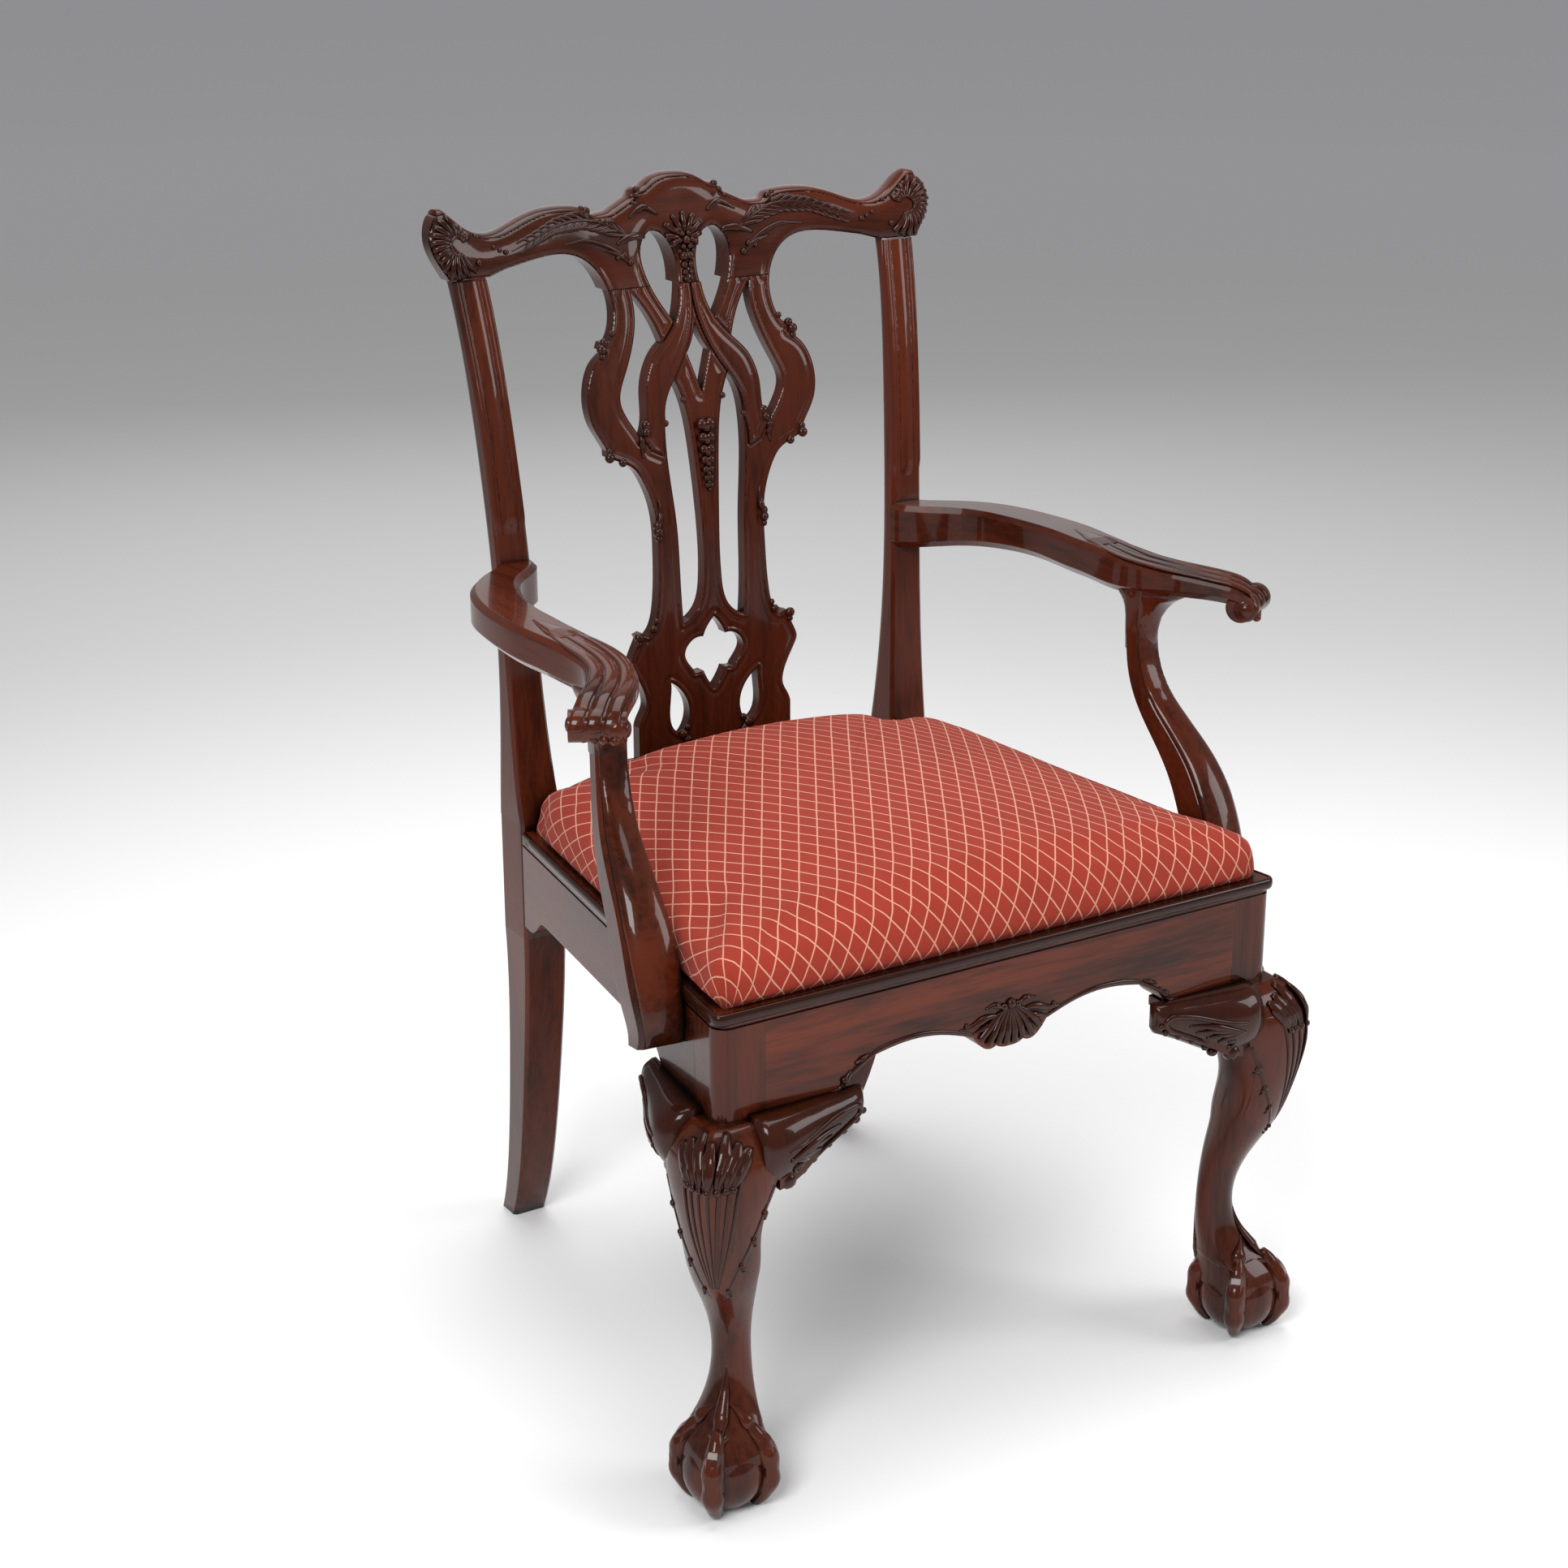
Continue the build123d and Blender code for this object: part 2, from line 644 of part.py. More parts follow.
# Stations of the right arm: out from the rail, share of the depth, height from its middle, width, height
arm_rows = [
    (-9.8, 1.086, 0, 36, 42), (-7.3, 1.029, 0, 36, 42), (12.8, 0.98, 2, 38, 39), (31.8, 0.914, 4, 43, 36),
    (41.2, 0.819, 5, 46, 33), (40.6, 0.709, 5, 46, 33), (32.9, 0.599, 4, 44, 34), (23.3, 0.489, 3, 41, 34),
    (19.7, 0.412, 4, 40, 30), (23.5, 0.341, 6, 41, 24), (36.8, 0.28, 5, 43, 20), (50.7, 0.244, 0, 44, 18),
    (58.5, 0.225, -11, 44, 15),
]


def arm_bar():
    z0 = seat_top + arm_high
    return swept([(*by_rail(out, along, z0 + up), w, h) for out, along, up, w, h in arm_rows], 5, 7)


def arm():
    place = by_rail(57, 0.231, seat_top + arm_high - 9)
    roll = Pos(*place) * Rot(0, 0, 30) * Rot(0, 90, 0) * Cylinder(roll_radius, roll_wide)
    return arm_bar() + roll - behind_stile() - support_pin(1)


def support_pin(grow):
    place = by_rail(18, 0.416, seat_top + arm_high - 14 + grow / 2)
    return Pos(*place) * Cylinder(6, 24 + grow)


# Stations of the right arm support, top to foot: as the arm's, with the height as a share of the arm's
support_rows = [
    (18, 0.416, 1, 30, 30), (16.1, 0.419, 0.843, 26, 24), (16, 0.416, 0.712, 26, 23),
    (17.8, 0.396, 0.563, 28, 25), (21.9, 0.348, 0.419, 32, 29), (23.3, 0.289, 0.284, 37, 34),
    (22.1, 0.236, 0.109, 42, 38), (20, 0.2, -0.074, 43, 38),
    (19.1, 0.185, -0.223, 41, 30),
]


def arm_support():
    path = [(*by_rail(out, along, seat_top + up * arm_high), w, h) for out, along, up, w, h in support_rows]
    body = swept(path, 4, 6, across=(cos(taper), sin(taper), 0))
    body -= rail_frame(box(-60, 0, -50, 700, 200, seat_top + 25))
    return body - arm_bar()


def notch_x(inset):
    return post_centre - seat_post_wide / 2 - inset


# Plan of the slip seat, notched round the back posts
def seat_notched(inset):
    y0 = front_y + lip_wide + inset
    y1 = back_y - inset
    x2 = notch_x(inset)
    points = [(side_x(y0, lip_wide + inset), y0), (side_x(y1, lip_wide + inset), y1)]
    points += [(x2, y1), (x2, back_lip - inset)]
    return make_face(Polyline(*mirrored(points), close=True))


# Crown of the seat in slices from front to back: share of the depth, offset, width lost, lift of the base,
# side height, rise
crown_rows = [
    (0, -10, 18, 12, 0.3, 0.34), (0, -7, 5, 6, 0.38, 0.48), (0, 2, 1, 0, 0.42, 0.6),
    (0, 26, 0, 0, 0.44, 0.77),
    (0.24, 0, 0, 0, 0.44, 0.93), (0.484, 0, 0, 0, 0.46, 1.0), (0.75, 0, 0, 0, 0.51, 1.0),
    (0.87, 0, 0, 0, 0.52, 0.93), (1, -42, 4, 0, 0.49, 0.85),
]
crown_tail = [(1, -26, 4, 0, 0.4, 0.74), (1, -12, 8, 0, 0.32, 0.6), (1, -3, 22, 4, 0.2, 0.36)]


def crown_slice(y, half, swell, lift, side, rise, height, under):
    a = half
    low = stuffing_base() + lift
    mid = stuffing_base() + side * height
    top = stuffing_base() + rise * height
    foot = low - under
    edges = [
        Line((-a, y, foot), (a, y, foot)),
        ThreePointArc((a, y, foot), (a + swell, y, (low + mid) / 2), (a - 1, y, mid)),
        ThreePointArc((a - 1, y, mid), (0, y, top), (1 - a, y, mid)),
        ThreePointArc((1 - a, y, mid), (-a - swell, y, (low + mid) / 2), (-a, y, foot)),
    ]
    return make_face(edges)


# Every second slice gives the plainer inside
def crown(inset, height, step=1, under=0.0):
    y0 = front_y + lip_wide + inset
    deep = back_lip - inset - y0
    faces = []
    for share, off, lost, *shape in crown_rows[::step]:
        y = y0 + share * deep + off * (crown_over / 10.0 if off < 0 and share == 0 else 1)
        swell = crown_over - 0.6 * shape[0]
        faces.append(crown_slice(y, side_x(y, lip_wide + inset) - lost, swell, *shape, height, under))
    for share, off, lost, *shape in crown_tail[::step]:
        faces.append(crown_slice(y0 + deep + off, notch_x(inset) - lost, 1.0, *shape, height, under))
    return loft(faces, ruled=True)


def seat_blank():
    return Pos(0, 0, seat_bottom) * extrude(seat_notched(seat_gap + cover_thick), seat_rail_thick)


def seat_rail_front():
    edge = front_y + lip_wide + seat_rail_wide
    rail = seat_blank() & box(-400, 400, -400, edge, 0, 900)
    return rail - seat_tenons() - tack_shanks()


def seat_rail_back():
    edge = back_lip - seat_rail_wide
    rail = seat_blank() & box(-400, 400, edge, 400, 0, 900)
    return rail - seat_tenons() - tack_shanks()


def seat_tenons():
    z0 = seat_bottom + 6
    front = front_y + lip_wide + seat_rail_wide
    back = back_lip - seat_rail_wide
    xf = side_x(front, lip_wide + seat_rail_wide) + 8
    xb = side_x(back, lip_wide + seat_rail_wide) + 8
    tongue = box(xf, xf + 30, front - 25, front + 2, z0, z0 + 8)
    tongue += box(xb, xb + 30, back - 2, back + 25, z0, z0 + 8)
    return tongue + flip(tongue)


def seat_rail_side():
    front = front_y + lip_wide + seat_rail_wide
    back = back_lip - seat_rail_wide
    rail = seat_blank() & box(0, 400, front, back, 0, 900)
    inside = rail_frame(box(-400, -lip_wide - seat_rail_wide, -50, 600, 0, 900))
    rail = rail - inside
    tongue = seat_tenons() & box(0, 400, -400, 400, 0, 900)
    return rail + tongue - tack_shanks()


def webbing():
    z0 = seat_frame_top
    straps = []
    y0 = front_y + lip_wide + 12
    for x in (-3 * web_wide, -web_wide, web_wide, 3 * web_wide):
        straps.append(box(x - web_wide / 2, x + web_wide / 2, y0, back_lip - 14, z0, z0 + web_thick))
    for share in (0.21, 0.48, 0.74):
        y = front_y + share * seat_deep
        half = side_x(y, lip_wide + 14)
        y0 = y - web_wide / 2
        z1 = z0 + web_thick
        straps.append(box(-half, half, y0, y0 + web_wide, z1, z1 + web_thick))
    return Compound(children=straps)


def hessian():
    z0 = seat_frame_top + 2 * web_thick
    return Pos(0, 0, z0) * extrude(seat_notched(10), hessian_thick)


def stuffing_base():
    return seat_frame_top + 2 * web_thick + hessian_thick


def stuffing():
    return crown(seat_gap + 2 * cover_thick + 0.9, crown_height - 2 * cover_thick - 0.9, 2)


def seat_cover():
    inset = seat_gap
    shell = crown(inset, crown_height)
    shell -= crown(inset + 2 * cover_thick - 0.3, crown_height - 2 * cover_thick + 0.3, 2, 4.0)
    z0 = seat_bottom + 0.4
    skirt = seat_notched(inset) - seat_notched(inset + cover_thick)
    return shell + Pos(0, 0, z0) * extrude(skirt, stuffing_base() - z0 + 0.4)


def dust_cloth():
    sheet = Pos(0, 0, seat_bottom - 0.8) * extrude(seat_notched(24), 0.8)
    x0 = front_half - post_size - 3
    corner = box(x0, 600, front_y - 50, front_y + post_size + 3, seat_bottom - 20, seat_top)
    return sheet - corner - flip(corner) - tack_shanks()


def tack_places():
    places = []
    y0 = front_y + lip_wide + 30
    y1 = back_lip - 30
    for x in (-160, 0, 160):
        places.append((x, y0))
    for x in (-100, 0, 100):
        places.append((x, y1))
    for share in (0.32, 0.57, 0.81):
        y = front_y + share * seat_deep
        places.append((side_x(y, lip_wide + 30), y))
        places.append((-side_x(y, lip_wide + 30), y))
    return places


def tack_shank(x, y):
    return box(x - 0.7, x + 0.7, y - 0.7, y + 0.7, seat_bottom - 0.9, seat_bottom + 6)


def tack_shanks():
    pins = [tack_shank(x, y) for x, y in tack_places()]
    return Compound(children=pins)


def tacks():
    pins = []
    for x, y in tack_places():
        head = Pos(x, y, seat_bottom - 1.8) * extrude(RegularPolygon(tack_radius, 6), 1.0)
        pins.append(head + tack_shank(x, y))
    return Compound(children=pins)


# Three sided blocks glued and screwed into the seat corners
def front_block():
    z0 = rail_bottom + 26
    xa = front_half - post_size
    ya = front_y + post_size
    yb = front_y + rail_thick
    outline = Polyline((xa, yb), (xa - 55, yb), (side_x(ya + 50, rail_thick), ya + 50),
                       (side_x(ya, rail_thick), ya), (xa, ya), close=True)
    return plan_prism(Curve() + outline, z0, z0 + 34)


def back_block():
    z0 = rail_bottom + 26
    inner = notch_x(0)
    y1 = back_rail_front
    outline = Polyline((inner - 50, y1), (inner - 1, y1), (inner - 1, back_y),
                       (side_x(back_y, rail_thick), back_y),
                       (side_x(back_y - 45, rail_thick), back_y - 45), close=True)
    return plan_prism(Curve() + outline, z0, z0 + 34)


def screw(long):
    body = extrude(RegularPolygon(screw_radius, 6), -long)
    return body + extrude(RegularPolygon(screw_head, 6), -3)


# Where each block screw enters and the way it points
def front_block_screws():
    z = rail_bottom + 43
    xa = front_half - post_size
    y0 = front_y + rail_thick
    one = Pos(xa - 36, y0 + 12, z) * Rot(-90, 0, 0) * screw(32)
    two = rail_frame(Pos(-rail_thick - 10, post_size + 36, z) * Rot(0, 90, 0) * screw(28))
    return [one, two]


def back_block_screws():
    z = rail_bottom + 43
    long = seat_deep / cos(taper)
    one = Pos(notch_x(32), back_rail_front - 10, z) * Rot(90, 0, 0) * screw(28)
    two = rail_frame(Pos(-rail_thick - 10, long - 32, z) * Rot(0, 90, 0) * screw(28))
    return [one, two]


def support_screws():
    rows = []
    for y, z in ((90, rebate_floor - 12), (84, rebate_floor - 30)):
        rows.append(rail_frame(Pos(-rail_thick, y, z) * Rot(0, -90, 0) * screw(rail_thick + 18)))
    return rows


def arm_screw():
    z = seat_top + arm_high - 1
    x, front, back = stile_at(z)
    return Pos(x, back + 0.6, z) * Rot(-90, 0, 0) * screw(back - front + arm_grip)


def save(name, part):
    export_step(part, "parts/" + name + ".step")
    print(name, round(part.volume))


def both(name, part):
    save(name + "_right", part)
    save(name + "_left", flip(part))


def main():
    os.makedirs("parts", exist_ok=True)
    both("front_leg", front_leg())
    both("knee_bracket_front", front_bracket())
    both("knee_bracket_side", side_bracket())
    fixings = front_block_screws() + back_block_screws()
    save("front_seat_rail", front_rail() - fixings - [flip(f) for f in fixings])
    both("side_seat_rail", side_rail() - fixings - support_screws())
    save("back_seat_rail", back_rail() - fixings - [flip(f) for f in fixings])
    both("corner_block_front", front_block() - fixings)
    both("corner_block_back", back_block() - fixings)
    save("corner_block_screws", Compound(children=fixings + [flip(f) for f in fixings]))
    both("back_post", back_post() - arm_screw())
    save("crest_rail", crest_rail())
    save("splat", splat())
    save("splat_shoe", shoe())
    both("arm", arm() - arm_screw())
    both("arm_support", arm_support() + support_pin(0) - support_screws())
    save("arm_screws", Compound(children=[arm_screw(), flip(arm_screw())]))
    grips = support_screws()
    save("arm_support_screws", Compound(children=grips + [flip(g) for g in grips]))
    save("seat_frame_front", seat_rail_front())
    save("seat_frame_back", seat_rail_back())
    both("seat_frame_side", seat_rail_side())
    save("seat_webbing", webbing())
    save("seat_hessian", hessian())
    save("seat_stuffing", stuffing())
    save("seat_cover", seat_cover())
    save("seat_dust_cloth", dust_cloth())
    save("seat_tacks", tacks())


main()
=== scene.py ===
import bpy
import bmesh
import numpy as np
from math import copysign, cos, exp, pi, radians, sin, sqrt, tau
from mathutils import Matrix, Vector
from mathutils.bvhtree import BVHTree
from mathutils.kdtree import KDTree


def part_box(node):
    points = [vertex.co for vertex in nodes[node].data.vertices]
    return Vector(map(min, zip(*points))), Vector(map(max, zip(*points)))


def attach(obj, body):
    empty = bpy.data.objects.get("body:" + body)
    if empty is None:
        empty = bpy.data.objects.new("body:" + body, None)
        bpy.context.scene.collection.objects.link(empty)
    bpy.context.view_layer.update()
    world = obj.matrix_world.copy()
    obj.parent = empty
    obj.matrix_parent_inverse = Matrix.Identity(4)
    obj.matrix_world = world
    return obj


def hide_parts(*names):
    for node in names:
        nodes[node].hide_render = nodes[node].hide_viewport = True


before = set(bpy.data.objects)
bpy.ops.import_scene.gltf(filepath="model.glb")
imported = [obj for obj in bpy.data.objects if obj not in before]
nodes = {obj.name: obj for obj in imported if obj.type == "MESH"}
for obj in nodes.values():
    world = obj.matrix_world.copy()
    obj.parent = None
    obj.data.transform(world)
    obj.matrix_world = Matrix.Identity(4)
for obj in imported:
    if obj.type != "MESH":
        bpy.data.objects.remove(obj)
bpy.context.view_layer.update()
scene = bpy.context.scene
print("frame loaded:", len(nodes), "nodes")

# Camera solved from the pairs of points on the chair's two sides
view = {
    "place": (-1.3294, -2.0679, 1.3762), "azimuth": -31.7055, "tilt": 70.4897, "roll": -0.0909, "lens": 66.32,
    "sensor": 36, "far": 200}


def setCamera():
    data = bpy.data.cameras.new("photoCamera")
    data.lens = view["lens"]
    data.sensor_width = view["sensor"]
    data.clip_end = view["far"]
    camera = bpy.data.objects.new("photoCamera", data)
    scene.collection.objects.link(camera)
    place = Matrix.Translation(view["place"])
    for key, axis in (("azimuth", "Z"), ("tilt", "X"), ("roll", "Z")):
        place @= Matrix.Rotation(radians(view[key]), 4, axis)
    camera.matrix_world = place
    scene.camera = camera


setCamera()
scene.view_settings.view_transform = "Standard"


# Shader sockets as values, so that finishes read as sums
class Value:
    def __init__(self, finish, socket):
        self.finish = finish
        self.socket = socket

    def maths(self, operation, a, b=0.0):
        return self.finish.node("ShaderNodeMath", {"operation": operation}, {0: a, 1: b})

    def __add__(self, other):
        return self.maths("ADD", self, other)

    def __sub__(self, other):
        return self.maths("SUBTRACT", self, other)

    def __rsub__(self, other):
        return self.maths("SUBTRACT", other, self)

    def __mul__(self, other):
        return self.maths("MULTIPLY", self, other)

    def __truediv__(self, other):
        return self.maths("DIVIDE", self, other)

    __radd__ = __add__
    __rmul__ = __mul__

    def most(self, other):
        return self.maths("MAXIMUM", self, other)

    # Distance from the middle of each repeat
    def fold(self):
        return self.maths("ABSOLUTE", self.maths("FRACT", self) - 0.5)

    def over(self, low, high):
        return self.finish.node("ShaderNodeMapRange", {"interpolation_type": "SMOOTHSTEP"},
                                {"Value": self, "From Min": low, "From Max": high})


class Finish:
    def __init__(self, name, **fixed):
        self.material = bpy.data.materials.new(name)
        self.material.use_nodes = True
        self.tree = self.material.node_tree
        self.shader = self.tree.nodes["Principled BSDF"]
        self.feed(**fixed)

    def node(self, kind, settings=None, inputs=None, out=0):
        made = self.tree.nodes.new(kind)
        for key, value in (settings or {}).items():
            setattr(made, key, value)
        for key, value in (inputs or {}).items():
            self.join(made.inputs[key], value)
        return Value(self, made.outputs[out])

    def join(self, socket, value):
        if isinstance(value, Value):
            self.tree.links.new(value.socket, socket)
        elif isinstance(value, tuple) and len(value) == 3 and socket.type == "RGBA":
            socket.default_value = (*value, 1)
        else:
            socket.default_value = value

    def feed(self, **sockets):
        for key, value in sockets.items():
            self.join(self.shader.inputs[key.replace("_", " ")], value)

    def mix(self, factor, a, b):
        return self.node("ShaderNodeMix", {"data_type": "RGBA"}, {0: factor, 6: a, 7: b}, 2)

    def place(self, scale=(1, 1, 1)):
        spot = self.node("ShaderNodeTexCoord", out=3)
        return self.node("ShaderNodeMapping", {}, {"Vector": spot, "Scale": scale})

    def noise(self, spot, scale, detail=3.0, rough=0.55):
        inputs = {"Vector": spot, "Scale": scale, "Detail": detail, "Roughness": rough}
        return self.node("ShaderNodeTexNoise", {}, inputs)

    def split(self, spot):
        made = self.node("ShaderNodeSeparateXYZ", {}, {"Vector": spot}).socket.node
        return [Value(self, made.outputs[k]) for k in (0, 1)]

    def bump(self, height, depth, normal=None):
        inputs = {"Height": height, "Distance": depth, "Strength": 1.0}
        if normal:
            inputs["Normal"] = normal
        self.feed(Normal=self.node("ShaderNodeBump", {}, inputs))


wood = {
    "dark": (0.009, 0.0024, 0.0015), "middle": (0.02, 0.0044, 0.0018), "red": (0.165, 0.027, 0.0078),
    # the crevice colour is painted shade, laid where ambient occlusion finds a recess
    "painted_crevice_shade": (0.003, 0.001, 0.0007), "rough": 0.21, "coat": 0.42, "edge": 0.0024, "stretch": 0.09, "broad": 16,
    "streak": 170, "pores": 900, "occlusion": 0.014, "depth": 0.00016}


# French polished mahogany with painted shade in its recesses, along gives the way that the grain runs
def mahogany(name, along, redness, edge=wood["edge"]):
    paint = Finish(name, Coat_Roughness=0.055, Coat_IOR=1.5, Specular_IOR_Level=0.07)
    spot = paint.place(tuple(wood["stretch"] if way == along else 1 for way in "xyz"))
    broad = paint.noise(spot, wood["broad"], 3)
    streak = paint.noise(spot, wood["streak"], 4, 0.6)
    pores = paint.noise(spot, wood["pores"], 2, 0.5)
    glow = (broad * 0.75 + streak * 0.45).over(0.39, 0.76)
    colour = paint.mix(glow * redness, wood["middle"], wood["red"])
    colour = paint.mix(streak.over(0.5, 0.75) * 0.3, colour, wood["dark"])
    occlusion = paint.node("ShaderNodeAmbientOcclusion", {"samples": 6}, {"Distance": wood["occlusion"]}, 1)
    # painted shade: recesses found by ambient occlusion are darkened towards the crevice colour
    colour = paint.mix(occlusion.over(0.35, 0.85), wood["painted_crevice_shade"], colour)
    paint.feed(Base_Color=colour, Roughness=streak * 0.12 + wood["rough"])
    paint.feed(Coat_Weight=occlusion.over(0.1, 0.5) * wood["coat"])
    soft = paint.node("ShaderNodeBevel", {"samples": 6}, {"Radius": edge})
    paint.bump(pores * 0.3 + broad * 0.5, wood["depth"], soft)
    return paint.material


def beech():
    paint = Finish("beechFrame", Roughness=0.6)
    spot = paint.place()
    fleck = paint.noise(spot, 260, 4)
    broad = paint.noise(spot, 20, 3)
    paint.feed(Base_Color=paint.mix(broad.over(0.3, 0.7), (0.30, 0.19, 0.10), (0.46, 0.32, 0.18)))
    paint.bump(fleck, 0.0002)
    return paint.material


def metal(name, colour, rough):
    paint = Finish(name, Metallic=1.0)
    grime = paint.noise(paint.place(), 380, 4)
    paint.feed(Base_Color=paint.mix(grime.over(0.35, 0.75), colour, tuple(c * 0.45 for c in colour)))
    paint.feed(Roughness=grime * 0.3 + rough)
    paint.bump(grime, 0.0001)
    return paint.material


# Plain weave of two threads, pitch in metres
def plainCloth(name, warm, cool, pitch, depth):
    paint = Finish(name, Roughness=0.9, Specular_IOR_Level=0.2)
    spot = paint.place()
    across, along = (part / pitch for part in paint.split(spot))
    thread = across.fold().most(along.fold()) * 2
    wear = paint.noise(spot, 300, 3)
    paint.feed(Base_Color=paint.mix(thread.over(0.55, 0.98) * 0.8 + wear * 0.2, warm, cool))
    paint.bump(1 - thread, depth)
    return paint.material


trellis = {
    "field": (0.4, 0.036, 0.016), "shade": (0.24, 0.023, 0.011), "line": (0.7, 0.33, 0.23), "step": 0.0158,
    "lean": 31.7, "line wide": 0.042, "thread": 0.00085}


# Brick red upholstery with a fine pale trellis, laid out in the cloth's own flat measure
def trellisCloth():
    paint = Finish("trellisFabric", Roughness=0.85, Specular_IOR_Level=0.25, Sheen_Weight=0.05, Sheen_Roughness=0.5)
    flat = paint.node("ShaderNodeUVMap", {"uv_map": "cloth"})
    u, v = paint.split(flat)
    wobble = paint.noise(flat, 34, 2)
    lean = radians(trellis["lean"])
    broadways = u * (cos(lean) / trellis["step"])
    endways = v * (sin(lean) / trellis["step"])
    ways = (broadways + endways + wobble * 0.06, broadways - endways + wobble * 0.05)
    wide = trellis["line wide"]
    marks = [1 - (way + 0.5).fold().over(wide * 0.75, wide * 1.3) for way in ways]
    lines = marks[0].most(marks[1])
    thread = (u / trellis["thread"]).fold().most((v / trellis["thread"]).fold()) * 2
    slub = paint.noise(flat, 900, 3)
    broad = paint.noise(flat, 14, 2)
    field = paint.mix(thread.over(0.4, 0.95) * 0.55 + slub * 0.35, trellis["field"], trellis["shade"])
    # painted shade: broad soft patches darken towards the shade colour, standing in for dips in the cloth
    field = paint.mix(broad.over(0.35, 0.75) * 0.34, field, trellis["shade"])
    paint.feed(Base_Color=paint.mix(lines * (0.78 + slub * 0.2), field, trellis["line"]))
    paint.bump((1 - thread) * 0.7 + lines * 0.5 + slub * 0.4, 0.0003)
    return paint.material


def dress(piece, material):
    piece.data.materials.clear()
    piece.data.materials.append(material)


# Grain, redness and soft edge of each run of mahogany
timber = {
    "rail": ("x", 0.95), "side": ("y", 0.5), "upright": ("z", 0.5), "back": ("z", 0.36), "crest": ("x", 0.36),
    # the lip row is a near-black copy of the mahogany, painted shade along the tops of the rails
    "lip": ("x", 0.04, 0.001), "carved": ("z", 0.15, 0.0008)}
finishes = {key: mahogany("mahogany" + key.capitalize(), *row) for key, row in timber.items()}
finishes |= {
    "beech": beech(), "steel": metal("screwSteel", (0.5, 0.48, 0.45), 0.35),
    "blued": metal("bluedTack", (0.1, 0.11, 0.13), 0.3),
    "webbing": plainCloth("juteWebbing", (0.36, 0.25, 0.13), (0.2, 0.13, 0.06), 0.003, 0.0008),
    "hessian": plainCloth("hessianCloth", (0.33, 0.23, 0.11), (0.14, 0.09, 0.04), 0.0024, 0.0006),
    "stuffing": plainCloth("stuffingFibre", (0.5, 0.42, 0.3), (0.35, 0.28, 0.2), 0.005, 0.0005),
    "black": plainCloth("blackDustCloth", (0.012, 0.012, 0.013), (0.004, 0.004, 0.004), 0.0012, 0.0003),
    "trellis": trellisCloth()}

# Beginnings of the names of the nodes with each finish, a later line holds over an earlier one
looks = {
    "side": "side_seat_rail arm", "upright": "arm_support front_leg back_post knee_bracket", "back": "splat",
    "rail": "front_seat_rail back_seat_rail splat_shoe", "crest": "crest_rail", "beech": "corner_block seat_frame",
    "steel": "corner_block_screws arm_screws arm_support_screws", "blued": "seat_tacks", "webbing": "seat_webbing",
    "hessian": "seat_hessian", "stuffing": "seat_stuffing", "black": "seat_dust_cloth", "trellis": "seat_cover"}
for look, starts in looks.items():
    for node in nodes:
        if node.startswith(tuple(starts.split())):
            dress(nodes[node], finishes[look])
print("finishes laid on the frame")

hands = (("left", -1), ("right", 1))
backward = (0, 1, 0)


def mm(x, y, z):
    return Vector((x, y, z)) * 0.001


def hump(d, centre, half):
    return max(0.0, 1 - ((d - centre) / half) ** 2)


def ease(t):
    t = min(max(t, 0.0), 1.0)
    return t * t * (3 - 2 * t)


# Curve from a to c that b draws to itself
def bend(a, b, c, t):
    return a * (1 - t) ** 2 + b * (2 * t * (1 - t)) + c * t ** 2


def around(spot, r, a):
    return spot[0] + r * cos(a), spot[1] + r * sin(a)


def turns(count):
    return [tau * k / count for k in range(count)]


def wayAt(line, i):
    return line[min(i + 1, len(line) - 1)] - line[max(i - 1, 0)]


def nearTree(points):
    tree = KDTree(len(points))
    for k, p in enumerate(points):
        tree.insert(p, k)
    tree.balance()
    return tree


# Surface of one or more solids, met by rays
def surfaceOf(*names):
    verts, faces = [], []
    for name in names:
        mesh = nodes[name].data if isinstance(name, str) else name.data
        start = len(verts)
        verts += [v.co.copy() for v in mesh.vertices]
        faces += [[start + i for i in p.vertices] for p in mesh.polygons]
    return BVHTree.FromPolygons(verts, faces)


# Where a ray through the point first meets the surface, with the normal that looks back along it
def meet(surface, point, aim, before=0.25, reach=0.6):
    aim = Vector(aim).normalized()
    hit, normal, index, far = surface.ray_cast(Vector(point) - aim * before, aim, reach)
    if hit is None:
        return None
    if normal.dot(aim) > 0:
        normal = -normal
    return hit, normal


def smoothLine(points, step):
    line = [Vector(p) for p in points]
    line = [2 * line[0] - line[1]] + line + [2 * line[-1] - line[-2]]
    out = []
    for i in range(1, len(line) - 2):
        a, b, c, d = line[i - 1:i + 3]
        count = max(2, int((c - b).length / step))
        for k in range(count):
            t = k / count
            out.append(0.5 * (2 * b + (c - a) * t + (2 * a - 5 * b + 4 * c - d) * t * t
                              + (3 * b - a - 3 * c + d) * t ** 3))
    out.append(line[-2])
    return out


def share(values, t):
    if not isinstance(values, (list, tuple)):
        return values
    place = t * (len(values) - 1)
    i = min(int(place), len(values) - 2)
    return values[i] + (values[i + 1] - values[i]) * (place - i)


# Guide of points and aims, met with the surface all along
def trace(surface, guide, step=0.002):
    line = smoothLine([(*p, *(Vector(a) * 0.03)) for p, a in guide], step)
    runs = [[]]
    for p in line:
        m = meet(surface, p[:3], p[3:])
        if m and (not runs[-1] or (m[0] - runs[-1][-1][0]).length < 0.007):
            runs[-1].append(m)
        elif runs[-1]:
            runs.append([m] if m else [])
    return max(runs, key=len)


# Faces between rings of n points, all round unless wide says how many to join
def bands(count, n, start=0, wide=None):
    faces = []
    for i in range(count - 1):
        for k in range(wide or n):
            a = start + i * n + k
            b = start + i * n + (k + 1) % n
            faces.append((a, b, b + n, a + n))
    return faces


# Rings closed by one point in the middle
def disc(count, n):
    last = (count - 1) * n
    return bands(count, n) + [(last + k, last + (k + 1) % n, count * n) for k in range(n)]


